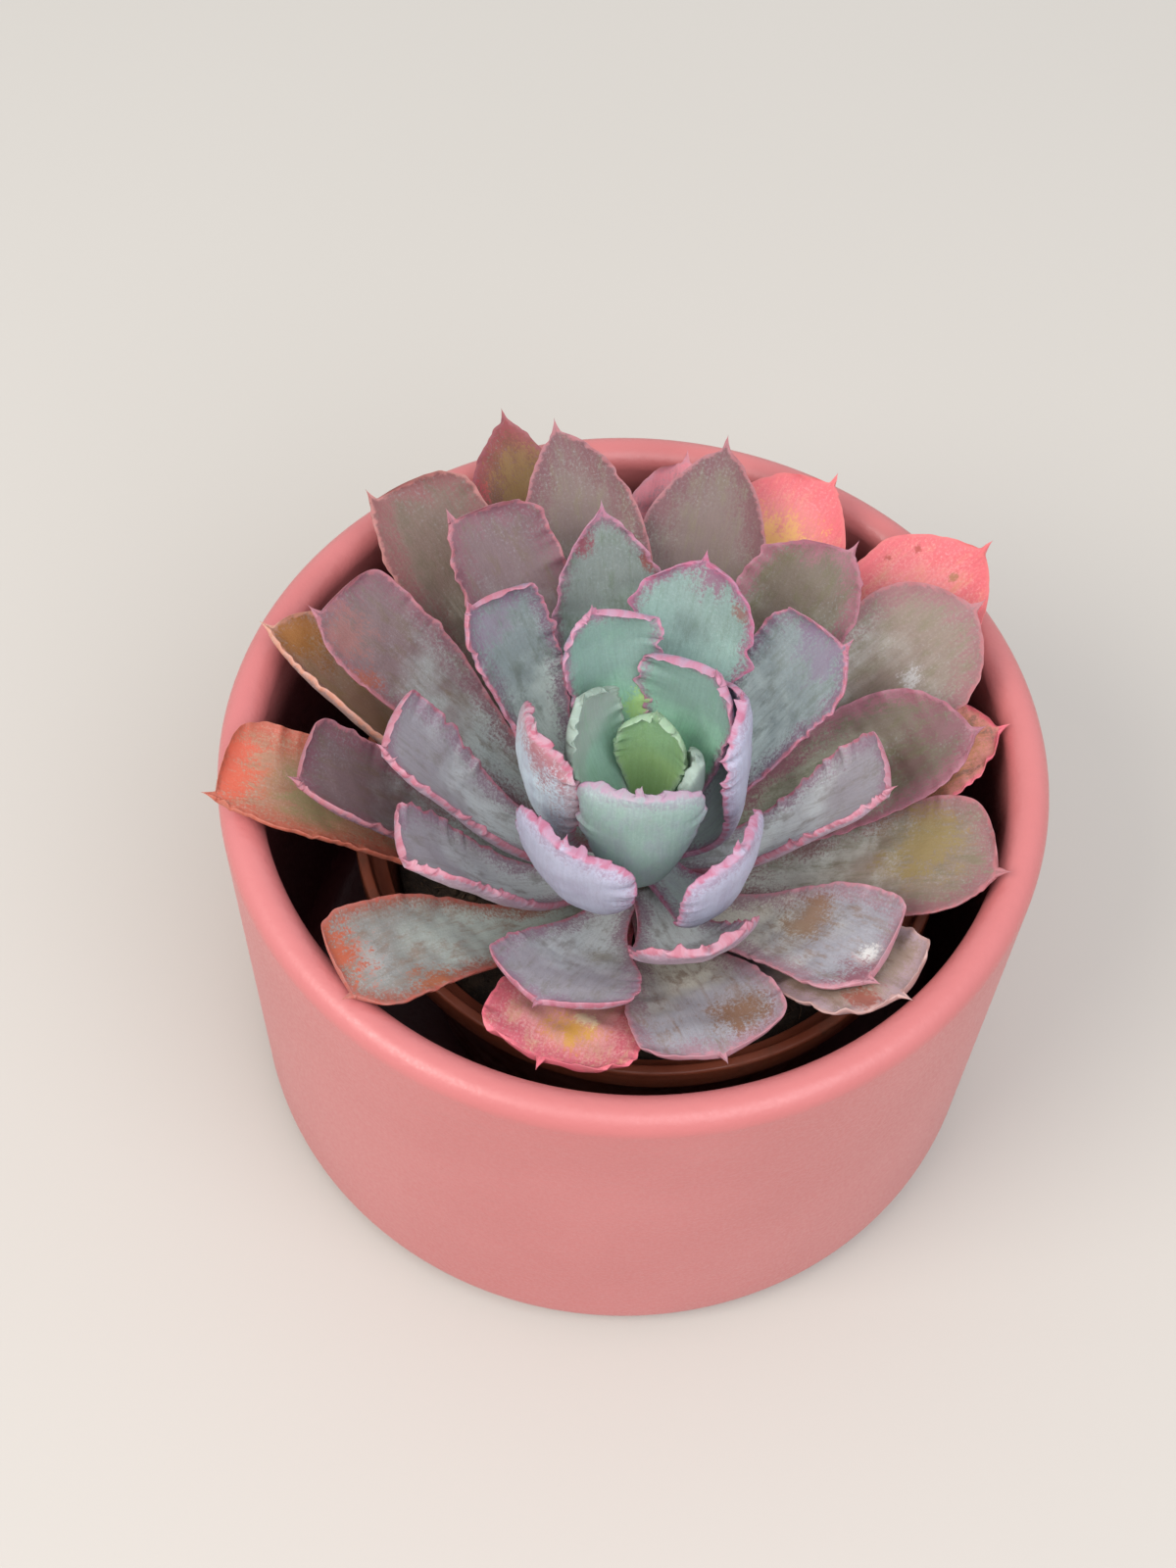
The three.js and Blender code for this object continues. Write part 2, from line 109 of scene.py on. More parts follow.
# Stem
STEM_FOOT = 48
STEM_TOP = 97
STEM_X = 2
STEM_Y_AT_SOIL = -10
STEM_LEAN = -0.12
LEAN_START = 72
STEM_HEIGHTS = (STEM_FOOT, 60, 72, 88, 96, STEM_TOP)
STEM_RADII = (5.5, 7.5, 7.2, 5.5, 4, 2.6)
STEM_RINGS = 70
STEM_SIDES = 64
STEM_SEED = 5

# Leaves
ROSETTE_CENTRE = (2, -12)
LEAF_GAP = 0.35
LEAF_NECK = 7.5
LEAF_THICKNESS = 2.3
MUCRO_LENGTH = 2.9
MUCRO_WIDTH = 3.2
LEAF_STEP = 0.8
LEAF_COLUMNS = 26
HANDLE_SHARE = 0.38
RIB_SAMPLES = 400
MARGIN_SAMPLES = 1200

# Outline types: where a leaf is widest along its length, and how square its left and right shoulders
# are, from 0 for a straight run to the tip to 1 for a square corner
OVATE = {"belly": 0.6, "left": 0.4, "right": 0.4}
OBLONG = {"belly": 0.68, "left": 0.55, "right": 0.55}
TRUNCATE = {"belly": 0.8, "left": 0.75, "right": 0.75}
SPADE = {"belly": 0.84, "left": 0.7, "right": 0.7}

# How deep the margin's lobes are, in millimetres, at each age
SCALLOPS = {"old": 0.35, "outer": 0.35, "middle": 0.7, "inner": 0.85, "heart": 0.6}


def leaf(name, azimuth, reach, seat, tip, rise, curl, width, cup, outline, look, **more):
    """One leaf's own numbers, in degrees and millimetres.

    A spot is its share of the length, its share of the half width, its radius, colour and strength.
    """
    values = {
        "name": name, "azimuth": azimuth, "reach": reach, "seat": seat, "tip": tip, "rise": rise,
        "curl": curl, "width": width, "cup": cup, "look": look, "swing": 0, "roll": 0, "skew": 0,
        "neck": LEAF_NECK, "frill": 0.35, "wave": 5.5, "scallop": SCALLOPS[name.split("_")[0]],
        "crumple": 0.2, "spots": (),
    }
    values.update(outline)
    values.update(more)
    return values


LEAVES = [
    leaf("old_leaf_1", 18, 74, 66.5, 102.5, 10, 14, 25, 40, OBLONG, "dried", frill=0.7, crumple=0.9,
         spots=((0.8, 0.3, 3, "#4c4a50", 0.9),)),
    leaf("old_leaf_2", 43, 91, 69.2, 110, 25, 18, 28, 40, OBLONG, "coral", skew=0.1, frill=0.1,
         crumple=0.4, belly=0.84, left=0.25, right=0.25,
         spots=((0.88, -0.03, 1.2, "#a06c50", 1),
                (0.81, 0.85, 0.9, "#a84840", 1),
                (0.87, 0.65, 0.9, "#a84840", 1))),
    leaf("old_leaf_3", 65, 83, 72, 112, 25, 20, 29, 40, OBLONG, "coral", skew=0.15, frill=0.15,
         left=0.8, right=0.3,
         spots=((0.76, 0.3, 8, "#d8a45c", 0.9),)),
    leaf("old_leaf_4", 87, 84, 66.5, 106, 20, 16, 26, 40, OBLONG, "withered", frill=0.6, crumple=0.9),
    leaf("old_leaf_5", 112, 93, 69.4, 112, 23, 20, 27, 45, OVATE, "russet", skew=0.2, frill=0.3,
         spots=((0.82, -0.1, 9, "#7c6030", 0.8),
                (0.8, 0.95, 5, "#a83040", 0.9))),
    leaf("old_leaf_6", 187, 82, 66, 108, 10, 18, 24, 60, TRUNCATE, "orange", roll=15, frill=0.5,
         belly=0.84, left=0.2, right=0.8, skew=-0.45,
         spots=((0.95, -0.6, 9, "#cc5c44", 0.8),
                (0.74, -0.3, 8, "#908860", 0.8))),
    leaf("old_leaf_7", 254, 56, 66.5, 93, 12, 5, 30, 35, SPADE, "red", skew=0.1, frill=0.8, crumple=0.7,
         left=0.95, right=0.9,
         spots=((0.8, 0.2, 5, "#c8984c", 1),
                (0.74, 0.3, 2.5, "#d8c8a8", 0.9))),
    leaf("old_leaf_8", 323, 64, 66.5, 101.5, 8, 14, 26, 40, SPADE, "tan", roll=-7, frill=0.7,
         crumple=0.7, belly=0.88, left=0.95, right=0.4,
         spots=((0.9, -0.4, 4, "#8c4c3c", 0.9),)),

    leaf("outer_leaf_1", 14, 66, 77.8, 111, 20, 26, 24, 50, OBLONG, "olive", roll=12, skew=0.2,
         frill=0.35, crumple=0.4,
         spots=((0.88, 0.3, 6, "#6c4248", 0.8),
                (0.76, -0.1, 5, "#6c4a48", 0.6))),
    leaf("outer_leaf_2", 34, 77, 74.9, 115, 26, 26, 29, 40, OBLONG, "taupe", roll=16, neck=7,
         frill=0.15, belly=0.8, left=0.45, right=0.4,
         spots=((0.74, -0.22, 2.4, "#b4b0ae", 0.85),)),
    leaf("outer_leaf_3", 81, 77, 74.6, 120, 30, 30, 30, 45, OVATE, "mauve", roll=-8, neck=7,
         swing=4, frill=0.15),
    leaf("outer_leaf_4", 107, 79, 77.4, 122, 32, 34, 27, 45, OVATE, "mauve", roll=-8, skew=-0.1,
         left=0.35, right=0.5, frill=0.2),
    leaf("outer_leaf_5", 135, 84, 72.4, 115, 20, 26, 25, 45, OBLONG, "umber", frill=0.2, belly=0.8,
         left=0.2, right=0.9, skew=-0.5,
         spots=((0.68, 0.4, 1.4, "#8c4c30", 0.9),)),
    leaf("outer_leaf_6", 157, 72, 75.5, 117, 26, 34, 21, 40, TRUNCATE, "plum", neck=7, frill=0.3,
         belly=0.86, left=0.2, right=0.95, skew=-0.45,
         spots=((0.76, 0.8, 6, "#8c4c38", 0.9),
                (0.88, 0, 6, "#8c5c56", 0.7))),
    leaf("outer_leaf_7", 159, 82, 69, 109, 10, 22, 22, 100, OBLONG, "bronze", roll=20, neck=7,
         swing=5, left=0.4, right=0.8, frill=0.5,
         spots=((0.9, -0.2, 7, "#905c20", 0.9),)),
    leaf("outer_leaf_8", 186, 66, 72.4, 111, 2, 36, 23, 85, TRUNCATE, "plum", roll=22, neck=7,
         frill=0.5, belly=0.86, left=0.2, right=0.95, skew=-0.35),
    leaf("outer_leaf_9", 224, 70, 69.3, 104.5, 14, 14, 22, 40, SPADE, "rusty", frill=0.3, wave=7,
         crumple=0.4, belly=0.88, left=0.3, right=1, skew=-0.4,
         spots=((0.86, -0.4, 5, "#a8aaa8", 0.5),
                (0.94, -0.7, 7, "#ac5438", 1),
                (0.75, 0.7, 6, "#a05c3c", 0.9))),
    leaf("outer_leaf_10", 250, 49, 72.1, 102, 15, 25, 29, 50, SPADE, "silver", skew=0.1, frill=0.25,
         belly=0.86, left=0.3, right=0.3,
         spots=((0.45, 0.3, 4, "#8c8470", 0.6),)),
    leaf("outer_leaf_11", 290, 55, 69.3, 97, 12, 14, 29, 40, SPADE, "weathered", roll=3, frill=0.4,
         wave=7, crumple=0.5,
         spots=((0.79, 0.45, 6, "#7c5a40", 0.9),)),
    leaf("outer_leaf_12", 321, 58, 74.7, 103, 14, 20, 24, 45, SPADE, "weathered", skew=0.4, frill=0.3,
         crumple=0.4, belly=0.86, left=0.95, right=0.25,
         spots=((0.89, 0.37, 2.6, "#d0ceca", 0.95),
                (0.6, 0.5, 6, "#8a6848", 0.8),
                (0.95, -0.1, 6, "#7c4450", 0.8))),
    leaf("outer_leaf_13", 350, 70, 72, 105, 12, 20, 26, 45, OBLONG, "taupe", skew=0.2, frill=0.3,
         belly=0.8, left=0.7, right=0.4,
         spots=((0.74, 0.45, 9, "#8a7848", 0.8),)),

    leaf("middle_leaf_1", 31, 43, 83.4, 127, 45, 48, 23, 50, TRUNCATE, "lichen", skew=0.3, frill=0.6,
         wave=4.5, belly=0.84, left=0.7, right=0.3,
         spots=((0.88, 0.2, 6, "#7c6c80", 0.7),)),
    leaf("middle_leaf_2", 52, 62, 80, 123, 32, 38, 25, 50, OBLONG, "olive", skew=0.25, belly=0.8,
         left=0.45, right=0.35),
    leaf("middle_leaf_3", 76, 36, 85.7, 134, 60, 62, 25, 60, OBLONG, "mint", left=0.6, right=0.75,
         frill=0.6, wave=8, scallop=1.7,
         spots=((0.92, -0.2, 4.5, "#84566c", 0.8),
                (0.82, -0.75, 2, "#845850", 0.8))),
    leaf("middle_leaf_4", 104, 49, 82.7, 131, 50, 54, 24, 50, OVATE, "sage", frill=0.4,
         spots=((0.88, 0.4, 2.6, "#7c3c48", 0.9),
                (0.8, -0.7, 2, "#7c4440", 0.9))),
    leaf("middle_leaf_5", 132, 62, 80, 127, 38, 40, 22, 50, OBLONG, "plum", frill=0.5, belly=0.8,
         left=0.2, right=0.95, skew=-0.5),
    leaf("middle_leaf_6", 150, 40, 84.9, 133, 40, 66, 18, 70, TRUNCATE, "lichen", frill=0.6, wave=4.5,
         belly=0.88, left=0.2, right=1, skew=-0.5,
         spots=((0.86, -0.4, 5, "#8a7088", 0.5),)),
    leaf("middle_leaf_7", 185, 49, 78.8, 120, 8, 50, 22, 90, TRUNCATE, "silver", roll=20, frill=0.7,
         wave=4.5, belly=0.86, left=0.2, right=0.95, skew=-0.4),
    leaf("middle_leaf_8", 209, 49, 75.6, 113, 0, 45, 24, 90, TRUNCATE, "silver", roll=20,
         skew=-0.2, neck=7, frill=0.7, wave=4.5),
    leaf("middle_leaf_9", 292, 37, 77.4, 109, 8, 70, 24, 60, TRUNCATE, "silver", frill=0.8,
         wave=4.5, left=0.9),
    leaf("middle_leaf_10", 353, 46, 80.6, 121, 18, 48, 22, 80, TRUNCATE, "silver", roll=-20, frill=0.7,
         wave=4.5, belly=0.84, left=0.7, right=0.25, skew=0.35),

    leaf("inner_leaf_1", 24, 18, 86.6, 129, 26, 92, 24, 100, OBLONG, "lilac", swing=-25, roll=-15,
         frill=1, wave=4),
    leaf("inner_leaf_2", 43, 16, 89.9, 130, 62, 85, 23, 70, OBLONG, "green", frill=0.9, wave=4.5,
         belly=0.82, left=0.95, right=0.3, skew=0.3),
    leaf("inner_leaf_3", 122, 22, 90, 136, 65, 82, 20, 80, OBLONG, "green", frill=1, wave=4.5,
         belly=0.86, left=0.3, right=0.9, skew=-0.25,
         spots=((0.46, -0.6, 4, "#a8cc7c", 0.8),)),
    leaf("inner_leaf_4", 188, 20, 88, 129, 20, 92, 23, 90, OBLONG, "stippled", roll=25, frill=0.9,
         wave=4,
         spots=((0.85, 0.3, 6, "#9c545c", 0.7),)),
    leaf("inner_leaf_5", 238, 24, 85, 120, -5, 100, 28, 70, TRUNCATE, "lilac", frill=0.8, wave=4.5),
    leaf("inner_leaf_6", 269, 13, 88.2, 126, 25, 95, 25, 90, SPADE, "pale", frill=0.8, wave=4),
    leaf("inner_leaf_7", 312, 26, 83.3, 121, -5, 100, 25, 75, TRUNCATE, "lilac", roll=15, frill=0.8,
         wave=4.5),

    leaf("heart_leaf_1", 75, 6, 93, 123, 80, 85, 15, 90, OBLONG, "heart", frill=0.8, wave=3),
    leaf("heart_leaf_2", 155, 13, 94.7, 127, 65, 95, 19, 70, OBLONG, "bud", frill=0.8, wave=3),
    leaf("heart_leaf_3", 350, 9, 93, 121, 70, 95, 12, 100, OBLONG, "bud", frill=0.5, wave=3),
]


def look(core_and_painted_light, end, under, rim, blush, mottle, mottling=0.5, flush=3.0, rim_width=0.6, bloom=0.3):
    """Colours of one kind of leaf, from its foot to its tip, its underside and its margin; the foot's core
    colour is partly the leaf's own pale base and partly painted light.
    """
    return {
        "core_and_painted_light": core_and_painted_light, "end": end, "under": under, "rim": rim, "blush": blush, "mottle": mottle,
        "mottling": mottling, "flush": flush, "rim_width": rim_width, "bloom": bloom,
    }


# The core colours are partly the leaves' own pale bases and partly painted light, lightened to lift the
# shade deep in the rosette
LOOKS = {
    "heart": look("#b4dc94", "#a0cc98", "#a8cfa0", "#90a88c", "#c0dcb4", "#a4d088", 0.3, 1.2, 0.35),
    "bud": look("#acd6c0", "#bcc8c0", "#a8bcb0", "#8a9a8e", "#c8dccc", "#9ccca8", 0.3, 1.5, 0.35),
    "green": look("#b0ecc8", "#94b2a8", "#b8b8cc", "#b4748a", "#a87c98", "#8cb8a0", 0.5, 2.5, 0.5),
    "mint": look("#b8e4d4", "#94aca4", "#b3b3c8", "#b0607c", "#a86084", "#7c9484", 0.6, 3.0, 0.6),
    "pale": look("#a8c4b4", "#a9a5b8", "#a4c0b4", "#a8849a", "#a99aae", "#8c9c98", 0.4, 3.0, 0.4),
    "lilac": look("#ccdcd8", "#b4aac4", "#cacce0", "#a8607a", "#a8829c", "#b0a0c0", 0.4, 3.0, 0.45),
    "stippled": look("#b8ccc6", "#a79db5", "#d8e8f0", "#ac5c70", "#b0646c", "#b89484", 0.7, 7.0, 0.5),
    "lichen": look("#e4f4ec", "#909c9c", "#b4acc4", "#b06878", "#8c6880", "#78827a", 0.8, 4.0, 0.5),
    "sage": look("#a0b8aa", "#828c86", "#b0a9b8", "#a86c80", "#82586a", "#687862", 0.8, 2.5),
    "silver": look("#ecf4f2", "#aea8ae", "#d2bcc8", "#ac6474", "#a88498", "#948c84", 0.8, 4.0, 0.5),
    "plum": look("#bcc8c4", "#7e6668", "#a08c9c", "#a4646c", "#8c5866", "#766250", 0.8, 5.0),
    "mauve": look("#9a9886", "#806a64", "#a08890", "#a06468", "#7c4850", "#807458", 0.6, 7.0),
    "taupe": look("#ecf0e4", "#968274", "#a08c90", "#a8666a", "#a46c72", "#827a58", 0.7, 6.0),
    "umber": look("#b8b29c", "#80685c", "#9a8478", "#a86c68", "#905456", "#6c604a", 0.7, 6.0),
    "olive": look("#c0c4aa", "#766758", "#988890", "#a06270", "#a66474", "#6c6644", 0.8, 5.0),
    "bronze": look("#9a9478", "#a88068", "#c4b0aa", "#bc826c", "#a4746c", "#a08050", 0.8, 5.0),
    "weathered": look("#e8e6d4", "#a8a6ac", "#b0a0a8", "#b67c86", "#ac8490", "#907058", 0.9, 5.0),
    "rusty": look("#c8d6ca", "#94928c", "#b09a94", "#a85446", "#a8543e", "#94745e", 0.8, 4.0),
    "russet": look("#7a6c40", "#784432", "#a87a6c", "#88464e", "#9e424c", "#7c5a2c", 0.8, 6.0),
    "orange": look("#b0a888", "#c49478", "#c08a78", "#a85440", "#d0644e", "#b07c5c", 0.6, 8.0),
    "coral": look("#d8b880", "#ee8686", "#d88a7a", "#ca6468", "#ec6870", "#e2946c", 0.6, 9.0),
    "red": look("#bc9480", "#e8a09e", "#c88a84", "#e06c7c", "#d86074", "#cca070", 0.8, 8.0),
    "tan": look("#b0a8ac", "#a89080", "#b89a90", "#b8948e", "#c4a8b0", "#8a6c5c", 0.9, 5.0),
    "dried": look("#c0905a", "#d08a58", "#a87050", "#e87484", "#f8a098", "#706060", 0.9, 5.0),
    "withered": look("#c8a070", "#b8848c", "#a87a6c", "#bc7c88", "#f08c98", "#886470", 0.9, 8.0),
}


def linear(code):
    """Linear colour from a "#rrggbb" code."""
    shares = [int(code[i:i + 2], 16) / 255 for i in (1, 3, 5)]
    return tuple(c / 12.92 if c <= 0.04045 else ((c + 0.055) / 1.055) ** 2.4 for c in shares) + (1,)


def smooth(x):
    """Smooth step from 0 to 1."""
    x = np.clip(x, 0, 1)
    return x * x * (3 - 2 * x)


# Waves that make up a rippled margin: each one's share of the wavelength, and its weight
RIPPLE_WAVES = ((0.38, 0.4), (0.6, 0.6), (1.0, 0.9), (1.45, 0.7), (2.6, 0.5))
RIPPLE_LEVEL = 1.6
SWELL_WAVELENGTHS = 4.3


def sine(rng, x, wavelength):
    """Sine wave along x from a random start."""
    return np.sin(2 * math.pi * x / wavelength + rng.uniform(0, 2 * math.pi))


def ripple(rng, x, wavelength):
    """Irregular wave along x, from about -1 to 1, that comes and goes."""
    total = np.zeros_like(x, dtype=float)
    for share, weight in RIPPLE_WAVES:
        total += weight * sine(rng, x, wavelength * share)
    swell = 0.55 + 0.45 * sine(rng, x, wavelength * SWELL_WAVELENGTHS)
    return total * swell / RIPPLE_LEVEL


class Shader:
    """Adds and links the nodes of one material."""

    def __init__(self, name):
        self.material = bpy.data.materials.new(name)
        self.material.use_nodes = True
        self.tree = self.material.node_tree
        self.tree.nodes.clear()
        self.surface = self.tree.nodes.new("ShaderNodeBsdfPrincipled")
        output = self.tree.nodes.new("ShaderNodeOutputMaterial")
        self.tree.links.new(self.surface.outputs["BSDF"], output.inputs["Surface"])

    def feed(self, socket, value):
        """Links value if it is a socket, and sets it otherwise."""
        if isinstance(value, bpy.types.NodeSocket):
            self.tree.links.new(value, socket)
        elif isinstance(value, str):
            socket.default_value = linear(value)
        else:
            socket.default_value = value

    def set(self, **values):
        """Sets or links the surface's own sockets, such as base_color or roughness."""
        for name, value in values.items():
            self.feed(self.surface.inputs[name.replace("_", " ").title().replace("Ior", "IOR")], value)

    def attribute(self, name, output="Fac"):
        node = self.tree.nodes.new("ShaderNodeAttribute")
        node.attribute_name = name
        return node.outputs[output]

    def object_place(self):
        return self.tree.nodes.new("ShaderNodeTexCoord").outputs["Object"]

    def mapped(self, vector, scale=(1, 1, 1), shift=(0, 0, 0)):
        node = self.tree.nodes.new("ShaderNodeMapping")
        self.feed(node.inputs["Vector"], vector)
        node.inputs["Scale"].default_value = scale
        node.inputs["Location"].default_value = shift
        return node.outputs["Vector"]

    def noise(self, vector, scale, detail=3, roughness=0.55, distortion=0):
        node = self.tree.nodes.new("ShaderNodeTexNoise")
        self.feed(node.inputs["Vector"], vector)
        node.inputs["Scale"].default_value = scale
        node.inputs["Detail"].default_value = detail
        node.inputs["Roughness"].default_value = roughness
        node.inputs["Distortion"].default_value = distortion
        return node.outputs["Fac"]

    def math(self, operation, a, b=0.0):
        node = self.tree.nodes.new("ShaderNodeMath")
        node.operation = operation
        self.feed(node.inputs[0], a)
        self.feed(node.inputs[1], b)
        return node.outputs[0]

    def ramp(self, value, low, high, start=0.0, end=1.0):
        """Smooth step of value from low to high, scaled to start and end."""
        node = self.tree.nodes.new("ShaderNodeMapRange")
        node.interpolation_type = "SMOOTHSTEP"
        self.feed(node.inputs["Value"], value)
        node.inputs["From Min"].default_value = low
        node.inputs["From Max"].default_value = high
        node.inputs["To Min"].default_value = start
        node.inputs["To Max"].default_value = end
        return node.outputs["Result"]

    def mix(self, factor, a, b, blend="MIX"):
        node = self.tree.nodes.new("ShaderNodeMix")
        node.data_type = "RGBA"
        node.blend_type = blend
        self.feed(node.inputs[0], factor)
        self.feed(node.inputs[6], a)
        self.feed(node.inputs[7], b)
        return node.outputs[2]

    def distance(self, vector, point):
        node = self.tree.nodes.new("ShaderNodeVectorMath")
        node.operation = "DISTANCE"
        self.feed(node.inputs[0], vector)
        node.inputs[1].default_value = point
        return node.outputs["Value"]

    def bump(self, height, depth, normal=None, strength=1.0):
        """Bump of a height from 0 to 1, depth metres high."""
        node = self.tree.nodes.new("ShaderNodeBump")
        node.inputs["Strength"].default_value = strength
        node.inputs["Distance"].default_value = depth
        self.feed(node.inputs["Height"], height)
        if normal is not None:
            self.feed(node.inputs["Normal"], normal)
        return node.outputs["Normal"]


def mesh_piece(name, vertices, faces, material, node):
    """A smooth mesh in metres, from millimetres, that stands for a CAD node."""
    mesh = bpy.data.meshes.new(name)
    mesh.from_pydata((np.asarray(vertices) * MM).tolist(), [], faces)
    mesh.validate()
    mesh.shade_smooth()
    mesh.materials.append(material)
    piece = bpy.data.objects.new(name, mesh)
    bpy.context.scene.collection.objects.link(piece)
    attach(piece, "root")
    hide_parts(node)
    return piece


def add_values(piece, name, values, kind="FLOAT"):
    attribute = piece.data.attributes.new(name, kind, "POINT")
    field = "value" if kind == "FLOAT" else "vector"
    attribute.data.foreach_set(field, np.asarray(values, np.float32).ravel())


# Cover pot, nursery pot, soil and stem

def arc(x, y, radius, start, end, steps=12):
    """Points [radius, height] on an arc round (x, y), with angles in degrees."""
    angles = np.radians(np.linspace(start, end, steps + 1))
    return [(x + radius * math.cos(a), y + radius * math.sin(a)) for a in angles]


def straight(start, end, steps):
    return [tuple(p) for p in np.linspace(start, end, steps + 1)[:-1]]


def ring_faces(rings, segments):
    """Faces that join rings of points, numbered ring after ring."""
    faces = []
    for start in range(0, (rings - 1) * segments, segments):
        for i in range(segments):
            j = (i + 1) % segments
            faces.append((start + i, start + j, start + segments + j, start + segments + i))
    return faces


def turned(outline, segments, centre=(0, 0)):
    """Vertices and faces of an outline that starts and ends on the axis, turned round it."""
    inner = outline[1:-1]
    angles = np.linspace(0, 2 * math.pi, segments, endpoint=False)
    vertices = [
        (centre[0] + r * math.cos(a), centre[1] + r * math.sin(a), z)
        for r, z in inner
        for a in angles
    ]
    faces = ring_faces(len(inner), segments)
    last = (len(inner) - 1) * segments
    bottom, top = len(vertices), len(vertices) + 1
    vertices += [(*centre, outline[0][1]), (*centre, outline[-1][1])]
    for i in range(segments):
        j = (i + 1) % segments
        faces.append((bottom, j, i))
        faces.append((top, last + i, last + j))
    return np.array(vertices), faces


def cover_pot_outline():
    corner = POT_RADIUS - POT_CORNER_RADIUS
    wall_top = POT_HEIGHT - POT_LIP_RADIUS
    lip = POT_RADIUS - POT_LIP_RADIUS
    inner = POT_INNER_RADIUS - INNER_CORNER
    edge = FOOT_EDGE_RADIUS
    outline = [(0, 0)]
    outline += straight((MIDDLE_RING_RADIUS, 0), (FOOT_RADIUS - edge, 0), 6)
    outline += arc(FOOT_RADIUS - edge, edge, edge, -90, 0, 4)
    outline += arc(FOOT_RADIUS + 2 * edge, FOOT_HEIGHT - edge, edge, 180, 90, 4)
    outline += arc(corner, FOOT_HEIGHT + POT_CORNER_RADIUS, POT_CORNER_RADIUS, -90, 0, 16)
    outline += straight((POT_RADIUS, OUTER_WALL_START), (POT_RADIUS, wall_top), 12)
    outline += arc(lip, wall_top, POT_LIP_RADIUS, 0, 180, 24)
    outline += straight(
        (POT_INNER_RADIUS, wall_top - POT_LIP_RADIUS), (POT_INNER_RADIUS, INNER_WALL_START), 10)
    outline += arc(inner, POT_FLOOR + INNER_CORNER, INNER_CORNER, 0, -90, 8)
    outline += straight((inner - INNER_CORNER, POT_FLOOR), (MIDDLE_RING_RADIUS, POT_FLOOR), 5)
    return outline + [(MIDDLE_RING_RADIUS, POT_FLOOR), (0, POT_FLOOR)]


def ceramic_material():
    """Matte pink glaze with a fine grain, with painted shade that darkens it down inside the pot."""
    shader = Shader("matte_pink_glaze")
    place = shader.object_place()
    cloud = shader.noise(place, 25, 3)
    grain = shader.noise(place, 1400, 2, 0.6)
    dimple = shader.noise(place, 420, 3, 0.5)
    colour = shader.mix(shader.ramp(cloud, 0.35, 0.7), "#b96867", "#bd6d6c")
    # Painted shade: below the lip the inner wall is darkened towards deep maroon, standing in for the
    # shadow inside the pot
    depth = shader.ramp(shader.attribute("height"), 98, 84)
    painted_inner_shade = shader.math("MULTIPLY", shader.attribute("inside"), depth)
    colour = shader.mix(painted_inner_shade, colour, "#5a2a2c")
    rough = shader.ramp(grain, 0.3, 0.7, 0.34, 0.5)
    normal = shader.bump(dimple, 0.0002, strength=0.7)
    normal = shader.bump(grain, 0.00006, normal, 0.7)
    shader.set(base_color=colour, roughness=rough, normal=normal)
    shader.set(coat_weight=0.2, coat_roughness=0.35)
    return shader.material


def make_cover_pot():
    vertices, faces = turned(cover_pot_outline(), POT_SEGMENTS)
    piece = mesh_piece(
        "cover_pot_glazed", vertices, faces, ceramic_material(), "cover_pot")
    out = np.hypot(vertices[:, 0], vertices[:, 1])
    add_values(piece, "height", vertices[:, 2])
    add_values(piece, "inside", (out < POT_INNER_RADIUS + 0.1) & (vertices[:, 2] >= POT_FLOOR - 0.1))
    return piece


def nursery_outline():
    floor_top = NURSERY_BASE + NURSERY_WALL
    rim_foot = NURSERY_TOP - NURSERY_RIM_HEIGHT
    shoulder = NURSERY_SHOULDER_RADIUS
    outer = NURSERY_RIM_RADIUS
    base = NURSERY_BASE_RADIUS
    foot = NURSERY_FOOT_EDGE
    edge = NURSERY_EDGE
    outline = [(0, NURSERY_BASE)]
    outline += straight((MIDDLE_RING_RADIUS, NURSERY_BASE), (base - foot, NURSERY_BASE), 5)
    outline += arc(base - foot, NURSERY_BASE + foot, foot, -90, 0, 4)
    outline += straight((base + 0.2, NURSERY_BASE + 2), (shoulder, rim_foot - edge), 14)
    outline += [(shoulder, rim_foot - edge), (shoulder + edge, rim_foot)]
    outline += arc(outer - 0.5, rim_foot + 0.5, 0.5, -90, 0, 3)
    outline += arc(outer - edge, NURSERY_TOP - edge, edge, 0, 90, 4)
    outline += arc(outer - 1.6, NURSERY_TOP - edge, edge, 90, 180, 4)
    outline += arc(outer - 3.6, rim_foot + NURSERY_WALL + 0.8, 0.8, 0, -90, 4)
    outline += arc(shoulder - NURSERY_WALL + edge, rim_foot - 0.2, edge, 90, 180, 4)
    outline += straight((shoulder - NURSERY_WALL - 0.2, rim_foot - 2), (base - 1.3, floor_top + 2), 14)
    outline += arc(base - NURSERY_WALL - foot, floor_top + foot, foot, 0, -90, 4)
    outline += straight((base - 4, floor_top), (MIDDLE_RING_RADIUS, floor_top), 4)
    return outline + [(MIDDLE_RING_RADIUS, floor_top), (0, floor_top)]


def plastic_material():
    """Thin red-brown moulded plastic with scuffs and a dusting of soil."""
    shader = Shader("brown_pot_plastic")
    place = shader.object_place()
    dust = shader.noise(place, 160, 5, 0.65)
    streak = shader.noise(shader.mapped(place, (90, 90, 900)), 1, 3)
    colour = shader.mix(shader.ramp(streak, 0.3, 0.7), "#8a4630", "#96503a")
    colour = shader.mix(shader.ramp(dust, 0.55, 0.75, 0, 0.6), colour, "#5f4433")
    rough = shader.ramp(dust, 0.4, 0.7, 0.38, 0.7)
    normal = shader.bump(streak, 0.0001, strength=0.25)
    shader.set(base_color=colour, roughness=rough, normal=normal)
    return shader.material


